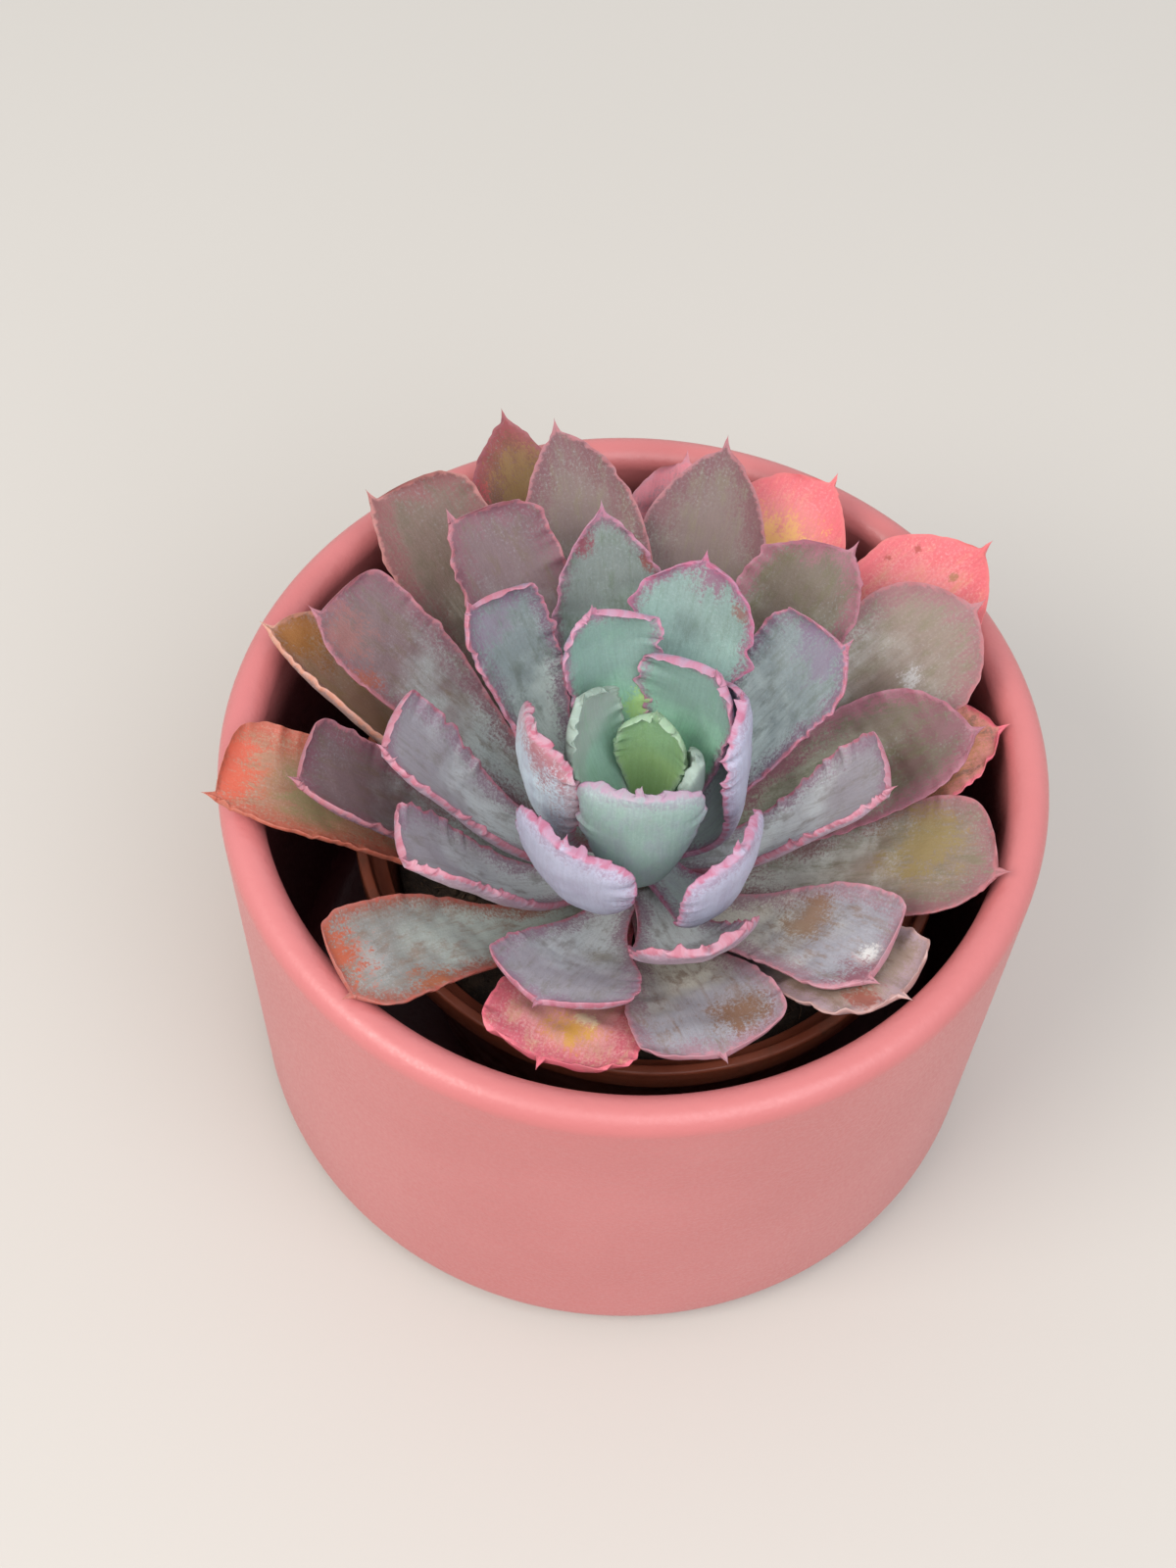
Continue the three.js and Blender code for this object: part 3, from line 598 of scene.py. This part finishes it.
def cut_drain_holes(piece):
    for i in range(DRAIN_HOLES):
        angle = 2 * math.pi * i / DRAIN_HOLES
        x = NURSERY_CENTRE[0] + DRAIN_HOLE_CIRCLE * math.cos(angle)
        y = NURSERY_CENTRE[1] + DRAIN_HOLE_CIRCLE * math.sin(angle)
        bpy.ops.mesh.primitive_cylinder_add(
            vertices=32, radius=DRAIN_HOLE_RADIUS * MM, depth=10 * MM,
            location=(x * MM, y * MM, NURSERY_BASE * MM))
        drill = bpy.context.object
        cut = piece.modifiers.new("drain_hole", "BOOLEAN")
        cut.operation = "DIFFERENCE"
        cut.object = drill
        bpy.context.view_layer.objects.active = piece
        bpy.ops.object.modifier_apply(modifier=cut.name)
        bpy.data.objects.remove(drill)


def make_nursery_pot():
    vertices, faces = turned(nursery_outline(), NURSERY_SEGMENTS, NURSERY_CENTRE)
    piece = mesh_piece(
        "nursery_pot_moulded", vertices, faces, plastic_material(), "nursery_pot")
    cut_drain_holes(piece)
    return piece


def lumps(rng, x, y, size):
    """Smooth random height field of a feature size, from about -1 to 1."""
    total = np.zeros_like(x, dtype=float)
    for _ in range(10):
        angle = rng.uniform(0, math.pi)
        wave = 2 * math.pi / (size * rng.uniform(0.7, 1.6))
        phase = rng.uniform(0, 2 * math.pi)
        total += np.sin((x * math.cos(angle) + y * math.sin(angle)) * wave + phase)
    return total / 4.5


def soil_height(x, y):
    """Height of the lumpy soil at places x and y."""
    rng = np.random.default_rng(SOIL_SEED)
    out = np.hypot(x - NURSERY_CENTRE[0], y - NURSERY_CENTRE[1]) / SOIL_RADIUS
    crown = SOIL_CROWN_HEIGHT + (SOIL_EDGE_HEIGHT - SOIL_CROWN_HEIGHT) * out ** 2
    rough = 0.7 * lumps(rng, x, y, 9) + 0.4 * lumps(rng, x, y, 3.5) + 0.25 * lumps(rng, x, y, 1.5)
    return crown + rough * (1 - 0.6 * np.clip(out, 0, 1) ** 8)


def soil_surface():
    """The soil as a closed turned solid with a lumpy top."""
    radii = SOIL_RADIUS * np.linspace(0.02, 1, SOIL_RINGS)
    bottom = NURSERY_BASE + NURSERY_WALL + SEAT_GAP
    outline = [(0, bottom), (NURSERY_BASE_RADIUS - 2.4, bottom)]
    outline += straight((NURSERY_BASE_RADIUS - 2.1, bottom + 2), (SOIL_RADIUS, SOIL_EDGE_HEIGHT - 1), 8)
    outline += [(r, SOIL_EDGE_HEIGHT) for r in radii[::-1]]
    outline += [(0, SOIL_CROWN_HEIGHT)]
    vertices, faces = turned(outline, SOIL_SEGMENTS, NURSERY_CENTRE)
    top = vertices[:, 2] >= SOIL_EDGE_HEIGHT - 0.01
    vertices[top, 2] = soil_height(vertices[top, 0], vertices[top, 1])
    return vertices, faces


def crumb(rng, size):
    """A rough little lump, about size millimetres across."""
    form = bmesh.new()
    bmesh.ops.create_icosphere(form, subdivisions=1, radius=size / 2)
    stretch = rng.uniform(0.6, 1.5, 3)
    points = np.array([v.co for v in form.verts]) * stretch * rng.uniform(0.75, 1.25, (len(form.verts), 1))
    faces = [[v.index for v in f.verts] for f in form.faces]
    form.free()
    return points, faces


def fibre(rng, length):
    """A thin curved root fibre with a triangular section, lying in the XY plane."""
    steps = 8
    t = np.linspace(-0.5, 0.5, steps)
    bend = rng.uniform(-0.5, 0.5)
    path = np.stack([t * length, bend * length * t * t, 0.15 * length * np.sin(3 * t)], 1)
    angles = np.radians((90, 210, 330))
    section = 0.14 * np.stack([np.zeros(3), np.cos(angles), np.sin(angles)], 1)
    points = (path[:, None] + section[None]).reshape(-1, 3)
    faces = ring_faces(steps, 3) + [(2, 1, 0), (3 * steps - 3, 3 * steps - 2, 3 * steps - 1)]
    return points, faces


def soil_bit_kind(rng, is_fibre):
    """Kind of one bit: a fibre, now and then a white grain, or else peat."""
    if is_fibre:
        return FIBRE_KIND
    if rng.uniform() < WHITE_GRAIN_CHANCE:
        return WHITE_GRAIN_KIND
    return rng.uniform(0, PEAT_KIND)


def scattered_soil_bits():
    """Crumbs and fibres lying on the soil, as vertices, faces and a kind for each vertex."""
    rng = np.random.default_rng(SOIL_BITS_SEED)
    vertices, faces, kinds = [], [], []
    for i in range(SOIL_CRUMBS + SOIL_FIBRES):
        is_fibre = i >= SOIL_CRUMBS
        radius = (SOIL_RADIUS - 1.5) * math.sqrt(rng.uniform(0.02, 1))
        angle = rng.uniform(0, 2 * math.pi)
        x = NURSERY_CENTRE[0] + radius * math.cos(angle)
        y = NURSERY_CENTRE[1] + radius * math.sin(angle)
        size = rng.uniform(3, 8) if is_fibre else 0.6 + 1.5 * rng.uniform() ** 2
        points, shape = fibre(rng, size) if is_fibre else crumb(rng, size)
        turn = rng.uniform(0, 2 * math.pi)
        spin = np.array(Matrix.Rotation(turn, 3, "Z"))
        height = float(soil_height(np.array([x]), np.array([y]))[0])
        points = points @ spin.T + (x, y, height + (0.25 if is_fibre else 0.1 * size))
        start = sum(len(v) for v in vertices)
        vertices.append(points)
        faces += [[start + k for k in face] for face in shape]
        kinds += [soil_bit_kind(rng, is_fibre)] * len(points)
    return np.concatenate(vertices), faces, kinds


def soil_material():
    """Dark peat with brown crumbs, pale fibres and a few white grains."""
    shader = Shader("dark_potting_soil")
    place = shader.object_place()
    kind = shader.attribute("kind")
    coarse = shader.noise(place, 300, 5, 0.7)
    fine = shader.noise(place, 1500, 3, 0.6)
    colour = shader.mix(shader.ramp(coarse, 0.35, 0.7), "#2a211b", "#463629")
    colour = shader.mix(shader.ramp(fine, 0.55, 0.75, 0, 0.6), colour, "#5c4837")
    colour = shader.mix(shader.ramp(kind, 0.1, 0.5, 0, 0.8), colour, "#6e5640")
    colour = shader.mix(shader.ramp(kind, 0.85, 0.95), colour, "#cfc8bb")
    normal = shader.bump(coarse, 0.0006, strength=0.8)
    normal = shader.bump(fine, 0.0002, normal, 0.8)
    shader.set(base_color=colour, roughness=0.95, normal=normal)
    return shader.material


def make_soil():
    vertices, faces = soil_surface()
    bits, bit_faces, kinds = scattered_soil_bits()
    faces = [tuple(f) for f in faces] + [tuple(k + len(vertices) for k in f) for f in bit_faces]
    piece = mesh_piece(
        "potting_soil", np.concatenate([vertices, bits]), faces, soil_material(), "soil")
    add_values(piece, "kind", [0.0] * len(vertices) + kinds)
    return piece


def stem_centre(height):
    """Middle of the leaning stem at a height."""
    height = np.asarray(height, float)
    return np.stack(
        [np.full_like(height, STEM_X), STEM_Y_AT_SOIL + STEM_LEAN * (height - LEAN_START), height], -1)


def stem_radius(height):
    return np.interp(height, STEM_HEIGHTS, STEM_RADII)


def stem_material():
    """Corky grey-brown stem with greener young growth at its top."""
    shader = Shader("corky_stem")
    place = shader.object_place()
    bark = shader.noise(shader.mapped(place, (1, 1, 2.5)), 260, 5, 0.65)
    colour = shader.mix(shader.ramp(bark, 0.3, 0.7), "#5e4c38", "#94805f")
    colour = shader.mix(shader.ramp(shader.attribute("height"), 84, 94, 0, 0.9), colour, "#9db08a")
    shader.set(base_color=colour, roughness=0.85, normal=shader.bump(bark, 0.0005, strength=0.8))
    return shader.material


def make_stem():
    """Stem with the rings of old leaf scars."""
    rng = np.random.default_rng(STEM_SEED)
    heights = np.linspace(STEM_FOOT, STEM_TOP, STEM_RINGS)
    angles = np.linspace(0, 2 * math.pi, STEM_SIDES, endpoint=False)
    middle = stem_centre(heights)
    scars = 0.25 * np.sin(heights[:, None] * 2.3 + 2 * np.sin(angles * 2 + rng.uniform(0, 6)))
    knots = 0.2 * np.sin(angles * 5 + heights[:, None] * 0.5)
    radii = stem_radius(heights)[:, None] - 0.3 + scars * 0.6 + knots * 0.5
    x = middle[:, None, 0] + radii * np.cos(angles)
    y = middle[:, None, 1] + radii * np.sin(angles)
    z = np.repeat(heights[:, None], STEM_SIDES, 1)
    vertices = np.stack([x, y, z], -1).reshape(-1, 3)
    faces = ring_faces(STEM_RINGS, STEM_SIDES)
    faces.append(tuple(range(STEM_SIDES - 1, -1, -1)))
    faces.append(tuple(range((STEM_RINGS - 1) * STEM_SIDES, STEM_RINGS * STEM_SIDES)))
    piece = mesh_piece("corky_stem_piece", vertices, faces, stem_material(), "stem")
    add_values(piece, "height", vertices[:, 2])
    return piece


# Leaves

def outward(degrees):
    return np.array([math.cos(math.radians(degrees)), math.sin(math.radians(degrees)), 0])


def slope(direction, degrees):
    return direction * math.cos(math.radians(degrees)) + (0, 0, math.sin(math.radians(degrees)))


class Midrib:
    """Curve from just off the stem to the leaf's tip, read by share of its length."""

    def __init__(self, leaf):
        start = outward(leaf["azimuth"] + leaf["swing"])
        end = outward(leaf["azimuth"])
        seat = leaf["seat"]
        base = stem_centre(seat) + start * (stem_radius(seat) + LEAF_GAP)
        tip = np.array([*ROSETTE_CENTRE, leaf["tip"]]) + end * leaf["reach"]
        pull = HANDLE_SHARE * np.linalg.norm(tip - base)
        handles = [base, base + slope(start, leaf["rise"]) * pull,
                   tip - slope(end, leaf["curl"]) * pull, tip]
        t = np.linspace(0, 1, RIB_SAMPLES)[:, None]
        a, b, c, d = handles
        self.points = (1 - t) ** 3 * a + 3 * (1 - t) ** 2 * t * b + 3 * (1 - t) * t * t * c + t ** 3 * d
        steps = np.linalg.norm(np.diff(self.points, axis=0), axis=1)
        run = np.concatenate([[0], np.cumsum(steps)])
        self.length = run[-1]
        self.shares = run / self.length

    def at(self, s):
        return np.stack([np.interp(s, self.shares, self.points[:, k]) for k in range(3)], -1)

    def direction(self, s):
        ahead = self.at(np.clip(s + 0.01, 0, 1)) - self.at(np.clip(s - 0.01, 0, 1))
        return ahead / np.linalg.norm(ahead, axis=-1, keepdims=True)


def half_width(leaf, length, s, side):
    """Half of the leaf's width at shares s of its length, on its left (1) or right (-1)."""
    mucro = MUCRO_LENGTH / length
    x = s / (1 - mucro)
    neck = leaf["neck"] / leaf["width"]
    growing = neck + (1 - neck) * smooth(x / leaf["belly"])
    beyond = np.clip((x - leaf["belly"]) / (1 - leaf["belly"]), 0, 1)
    square = leaf["left"] if side > 0 else leaf["right"]
    rounding = (1 - beyond ** (1.4 + 5.6 * square ** 2)) ** (0.95 - 0.45 * square)
    lean = 1 + side * leaf["skew"] * smooth((x - 0.2) / 0.5)
    share = np.where(x > leaf["belly"], rounding, growing) * lean
    spike = MUCRO_WIDTH / leaf["width"] * 0.5 * np.clip((1 - s) / mucro, 0, 1.8) ** 1.5
    spike = np.where(s > 0.5, spike, 0)
    joined = (share ** 3 + spike ** 3) ** (1 / 3)
    return joined * leaf["width"] / 2


def station_shares(leaf, length):
    """Shares of the length, closer where the margin is frilled, and a run of them four times as fine."""
    s = np.linspace(0, 1, MARGIN_SAMPLES)
    widest = np.maximum(half_width(leaf, length, s, 1), half_width(leaf, length, s, -1))
    steps = np.hypot(np.diff(s) * length, np.diff(widest)) * np.where(s[1:] < 0.4, 0.6, 1.4)
    run = np.concatenate([[0], np.cumsum(steps)])
    count = int(run[-1] / LEAF_STEP)
    stations = np.interp(np.linspace(0, run[-1], count + 1), run, s)
    return stations, np.interp(np.linspace(0, run[-1], 4 * count + 1), run, s)


def section_axes(leaf, rib, s):
    """Sideways and outward directions of the leaf's sections, rolled more towards its tip."""
    azimuth = math.radians(leaf["azimuth"])
    leftward = np.array([-math.sin(azimuth), math.cos(azimuth), 0])
    along = rib.direction(s)
    across = leftward - (along @ leftward)[:, None] * along
    across /= np.linalg.norm(across, axis=1, keepdims=True)
    out = np.cross(along, across)
    roll = math.radians(leaf["roll"]) * smooth(s / 0.6)[:, None]
    return across * np.cos(roll) + out * np.sin(roll), out * np.cos(roll) - across * np.sin(roll)


class Blade:
    """Surface of one leaf, on a grid of stations s along it and columns w across it."""

    def __init__(self, leaf, seed):
        rng = np.random.default_rng(seed)
        rib = Midrib(leaf)
        self.leaf = leaf
        self.length = rib.length
        stations, self.fine = station_shares(leaf, rib.length)
        self.s = stations[:-1]
        self.w = np.sin(np.linspace(-1, 1, LEAF_COLUMNS + 1) * math.pi / 2)
        self.left = half_width(leaf, self.length, self.s, 1)
        self.right = half_width(leaf, self.length, self.s, -1)
        self.flat_x = np.repeat((self.s * self.length)[:, None], len(self.w), 1)
        self.flat_y = np.where(self.w > 0, self.left[:, None], self.right[:, None]) * self.w
        self.growth = smooth((self.s - 0.25) / 0.35) * smooth((1 - self.s) * self.length / 3)
        self.tip = rib.at(np.array([1.0]))
        self.bend_round(rib)
        self.frill_margins(rng)
        self.crumple(rng)

    def bend_round(self, rib):
        """Lays the upper surface on arcs round the midrib."""
        across, out = (axis[:, None] for axis in section_axes(self.leaf, rib, self.s))
        bend = math.radians(self.leaf["cup"]) * (0.8 + 0.2 * self.s)
        radius = ((self.left + self.right) / bend)[:, None, None]
        angle = self.flat_y[..., None] / radius
        centre = rib.at(self.s)[:, None]
        self.normal = out * np.cos(angle) - across * np.sin(angle)
        self.level = across * np.cos(angle) + out * np.sin(angle)
        self.upper = centre + across * (radius * np.sin(angle)) + out * (radius * (1 - np.cos(angle)))

    def frill_margins(self, rng):
        """Lifts and pushes both margins in ripples, the left one first."""
        steps = np.hypot(np.diff(self.s) * self.length, np.diff(np.maximum(self.left, self.right)))
        run = np.concatenate([[0], np.cumsum(steps)])
        for side in (1, -1):
            near = np.clip(side * self.w, 0, 1) ** 6
            lift = self.leaf["frill"] * ripple(rng, run, self.leaf["wave"]) * self.growth
            push = self.leaf["scallop"] * ripple(rng, run, self.leaf["wave"] * 1.3) * self.growth
            self.upper += self.normal * (lift[:, None] * near)[..., None]
            self.upper += self.level * (side * push[:, None] * near)[..., None]

    def crumple(self, rng):
        """Swells and dents the blade between its margins."""
        rough = lumps(rng, self.flat_x, self.flat_y, 14) + 0.4 * lumps(rng, self.flat_x, self.flat_y, 5)
        swell = self.leaf["crumple"] * rough
        self.upper += self.normal * (swell * self.growth[:, None] * (1 - self.w ** 4))[..., None]

    def lower(self):
        """Points of the underside, deepest along the keel and level with the top at the margins."""
        thickness = LEAF_THICKNESS * np.interp(self.s, (0, 0.3, 0.85, 1), (1, 1, 0.75, 0.5))
        thickness = np.minimum(thickness, 1.3 * np.minimum(self.left, self.right))
        keel = 1 + 0.18 * np.exp(-(self.w / 0.2) ** 2)
        depth = thickness[:, None] * np.sqrt(1 - self.w ** 4) * keel
        return self.upper - self.normal * depth[..., None]

    def edge_distances(self):
        """Distance of each flat point from the leaf's margin."""
        edge_x = np.concatenate([self.fine, self.fine]) * self.length
        edge_y = np.concatenate(
            [side * half_width(self.leaf, self.length, self.fine, side) for side in (1, -1)])
        nearest = np.full(self.flat_x.shape, np.inf)
        for x, y in zip(edge_x, edge_y):
            nearest = np.minimum(nearest, (self.flat_x - x) ** 2 + (self.flat_y - y) ** 2)
        return np.sqrt(nearest)


def leaf_faces(rows, columns):
    """Faces of a closed leaf: its upper points, then its lower inner points, then its tip."""
    top = np.arange(rows * columns).reshape(rows, columns)
    below = top.copy()
    below[:, 1:-1] = rows * columns + np.arange(rows * (columns - 2)).reshape(rows, columns - 2)
    tip = rows * columns + rows * (columns - 2)
    faces = []
    for r in range(rows - 1):
        for c in range(columns - 1):
            faces.append((top[r, c], top[r + 1, c], top[r + 1, c + 1], top[r, c + 1]))
            faces.append((below[r, c], below[r, c + 1], below[r + 1, c + 1], below[r + 1, c]))
    for c in range(columns - 1):
        faces.append((top[-1, c], tip, top[-1, c + 1]))
        faces.append((below[-1, c], below[-1, c + 1], tip))
    faces.append(tuple(top[0]) + tuple(below[0, -2:0:-1]))
    return [tuple(int(k) for k in face) for face in faces]


def in_face_order(upper, lower, tip):
    """Values in the order that leaf_faces counts them."""
    tail = upper.shape[2:]
    return np.concatenate([upper.reshape(-1, *tail), lower[:, 1:-1].reshape(-1, *tail), tip])


def leaf_values(blade):
    """What each point tells its material, by the name of the attribute."""
    edge = blade.edge_distances()
    flat = np.stack([blade.flat_x, blade.flat_y, np.zeros_like(blade.flat_x)], -1)
    share = np.repeat(blade.s[:, None], len(blade.w), 1)
    above = np.zeros_like(share)
    above[:, [0, -1]] = 0.5
    return {
        "leaf_mm": in_face_order(flat, flat, [[blade.length, 0, 0]]),
        "edge_mm": in_face_order(edge, edge, [0.0]),
        "share": in_face_order(share, share, [1.0]),
        "under": in_face_order(above, np.ones_like(share), [0.5]),
    }


def leaf_noises(shader, place):
    """Broad clouds, patches, fine grain and streaks that one leaf's colours share."""
    broad = shader.noise(place, 0.08, 3, 0.6)
    patch = shader.noise(shader.mapped(place, (0.15, 0.32, 0.3)), 1, 6, 0.7)
    fine = shader.noise(place, 1.6, 5, 0.75)
    streak = shader.noise(shader.mapped(place, (0.07, 0.6, 1)), 1, 5, 0.7)
    return broad, patch, fine, streak


def blade_colour(shader, tones, edge, noises):
    """Stained blade from a core lightened with painted light to its end, flushed at its margin, with its
    own underside.
    """
    broad, patch, fine, streak = noises
    share = shader.attribute("share")
    under = shader.attribute("under")
    reach = shader.math("ADD", share, shader.ramp(broad, 0.25, 0.75, -0.14, 0.14))
    # Painted light: the core colour near the foot is lightened past the leaf's own tone where the rosette
    # shades it
    blade = shader.mix(shader.ramp(reach, 0.3, 0.78), tones["core_and_painted_light"], tones["end"])
    stain = shader.math("MULTIPLY", shader.ramp(patch, 0.5, 0.66), 0.7 * tones["mottling"])
    blade = shader.mix(stain, blade, tones["mottle"])
    blade = shader.mix(shader.ramp(streak, 0.5, 0.7, 0, 0.45), blade, tones["mottle"])
    wander = shader.ramp(patch, 0.3, 0.7, -0.35 * tones["flush"], 0.35 * tones["flush"])
    speckle = shader.ramp(fine, 0.35, 0.65, -0.35 * tones["flush"], 0.35 * tones["flush"])
    from_edge = shader.math("ADD", shader.math("ADD", edge, wander), speckle)
    blush = shader.ramp(from_edge, 0, tones["flush"], 0.85, 0)
    blade = shader.mix(blush, blade, tones["blush"])
    back = shader.mix(shader.ramp(patch, 0.45, 0.65, 0, 0.35), tones["under"], tones["end"])
    back = shader.mix(shader.math("MULTIPLY", blush, 0.7), back, tones["blush"])
    return shader.mix(shader.ramp(under, 0.45, 0.55), blade, back)


def add_spots(shader, colour, leaf, length, flat, noises):
    """The leaf's own scars and patches, each with a ragged edge."""
    _, patch, fine, _ = noises
    for along, sideways, radius, tone, strength in leaf["spots"]:
        away = shader.distance(flat, (along * length, sideways * leaf["width"] / 2, 0))
        ragged = shader.math("ADD", away, shader.ramp(patch, 0.3, 0.7, -0.5 * radius, 0.5 * radius))
        ragged = shader.math("ADD", ragged, shader.ramp(fine, 0.3, 0.7, -0.45 * radius, 0.45 * radius))
        colour = shader.mix(shader.ramp(ragged, radius * 0.3, radius * 1.2, strength, 0), colour, tone)
    return colour


def weathered_colour(shader, tones, colour, place, noises):
    """Worn patches, a dusty bloom, fine grain and veins over the blade."""
    broad, _, fine, _ = noises
    worn = shader.ramp(shader.noise(place, 0.9, 6, 0.8), 0.57, 0.66, 0, 0.5)
    worn = shader.math("MULTIPLY", worn, shader.ramp(broad, 0.35, 0.6))
    colour = shader.mix(worn, colour, tones["mottle"])
    dust = shader.math("MULTIPLY", shader.ramp(fine, 0.5, 0.7), shader.ramp(broad, 0.6, 0.4, 0.15, 0.8))
    colour = shader.mix(shader.math("MULTIPLY", dust, tones["bloom"]), colour, "#c4cad4")
    vein = shader.noise(shader.mapped(place, (0.12, 1.8, 1)), 1, 3, 0.6)
    colour = shader.mix(1.0, colour, shader.mix(fine, "#d8d8d8", "#ffffff"), "MULTIPLY")
    return shader.mix(1.0, colour, shader.mix(vein, "#e0e0e0", "#ffffff"), "MULTIPLY")


def rimmed_colour(shader, tones, colour, place, edge):
    """Coloured margin with a crimped inner edge, its tone paled in patches as painted highlights on the
    crimps.
    """
    width = tones["rim_width"]
    crimp_and_glint = shader.noise(shader.mapped(place, (0.9, 0.5, 1)), 1, 3, 0.6)
    rim_edge = shader.math("ADD", edge, shader.ramp(crimp_and_glint, 0.3, 0.7, -0.6 * width, 0.6 * width))
    # Partly a wobble of the rim's real inner edge, partly painted highlights: the rim colour is paled
    # towards the underside colour in patches
    rim = shader.mix(shader.ramp(crimp_and_glint, 0.35, 0.65, 0, 0.25), tones["rim"], tones["under"])
    return shader.mix(shader.ramp(rim_edge, width * 0.3, width * 1.6, 0.95, 0), colour, rim)


def leaf_material(leaf, length, seed):
    """Waxy leaf skin: mottled blade, worn bloom, the leaf's own spots and its coloured rim."""
    tones = LOOKS[leaf["look"]]
    shader = Shader(leaf["name"] + "_skin")
    flat = shader.attribute("leaf_mm", "Vector")
    place = shader.mapped(flat, shift=(37.0 * seed, 11.0 * seed, 5.0 * seed))
    edge = shader.attribute("edge_mm")
    noises = leaf_noises(shader, place)
    colour = blade_colour(shader, tones, edge, noises)
    colour = weathered_colour(shader, tones, colour, place, noises)
    colour = add_spots(shader, colour, leaf, length, flat, noises)
    colour = rimmed_colour(shader, tones, colour, place, edge)
    _, patch, fine, _ = noises
    rough = shader.ramp(fine, 0.3, 0.7, 0.46, 0.62)
    normal = shader.bump(patch, 0.0005, strength=0.4)
    normal = shader.bump(fine, 0.00015, normal, 0.5)
    shader.set(base_color=colour, roughness=rough, normal=normal)
    shader.set(subsurface_weight=0.12, subsurface_radius=(1.0, 0.6, 0.45), subsurface_scale=0.0015)
    return shader.material


def make_leaf(leaf, seed):
    name = leaf["name"]
    blade = Blade(leaf, seed)
    vertices = in_face_order(blade.upper, blade.lower(), blade.tip)
    faces = leaf_faces(*blade.flat_x.shape)
    material = leaf_material(leaf, float(blade.length), seed)
    piece = mesh_piece(name + "_blade", vertices, faces, material, name)
    for label, numbers in leaf_values(blade).items():
        add_values(piece, label, numbers, "FLOAT_VECTOR" if label == "leaf_mm" else "FLOAT")
    return piece


# Stage, lights and camera

def make_floor():
    bpy.ops.mesh.primitive_plane_add(size=8)
    floor = bpy.context.object
    floor.name = "floor"
    shader = Shader("pale_floor")
    shade = shader.noise(shader.object_place(), 2, 2)
    shader.set(base_color=shader.mix(shade, "#b6b2aa", "#beb9b2"), roughness=0.9)
    floor.data.materials.append(shader.material)


def area_light(name, place, target, size, watts, tint):
    data = bpy.data.lights.new(name, "AREA")
    data.shape = "DISK"
    data.size = size
    data.energy = watts
    data.color = linear(tint)[:3]
    light = bpy.data.objects.new(name, data)
    light.location = place
    light.rotation_euler = (Vector(target) - Vector(place)).to_track_quat("-Z", "Y").to_euler()
    bpy.context.scene.collection.objects.link(light)


def make_lights():
    world = bpy.data.worlds.new("soft_studio")
    world.use_nodes = True
    sky = world.node_tree.nodes["Background"]
    sky.inputs["Color"].default_value = linear("#f2f4f8")
    sky.inputs["Strength"].default_value = 1.0
    bpy.context.scene.world = world
    middle = (0, 0, 0.08)
    area_light("window", (-0.8, -0.6, 1.15), middle, size=0.8, watts=13, tint="#fffaf4")
    area_light("room_fill", (0.5, -0.7, 1.25), middle, size=1.2, watts=12, tint="#f8f9ff")


def make_camera():
    pitch, yaw, roll = (math.radians(a) for a in (CAMERA_PITCH, CAMERA_YAW, CAMERA_ROLL))
    forward = Vector((math.sin(yaw) * math.cos(pitch), math.cos(yaw) * math.cos(pitch), -math.sin(pitch)))
    level = Vector((math.cos(yaw), -math.sin(yaw), 0))
    above = level.cross(forward)
    right = level * math.cos(roll) + above * math.sin(roll)
    up = above * math.cos(roll) - level * math.sin(roll)
    data = bpy.data.cameras.new("photo_camera")
    data.lens = CAMERA_LENS
    data.sensor_width = CAMERA_SENSOR
    data.clip_start = 0.01
    camera = bpy.data.objects.new("photo_camera", data)
    turn = Matrix((right, up, -forward)).transposed().to_4x4()
    camera.matrix_world = Matrix.Translation(Vector(CAMERA_PLACE) * MM) @ turn
    bpy.context.scene.collection.objects.link(camera)
    bpy.context.scene.camera = camera


make_camera()
make_lights()
make_floor()
make_cover_pot()
make_nursery_pot()
make_soil()
make_stem()
for number, values in enumerate(LEAVES, 1):
    make_leaf(values, number)
bpy.context.scene.view_settings.view_transform = "Standard"
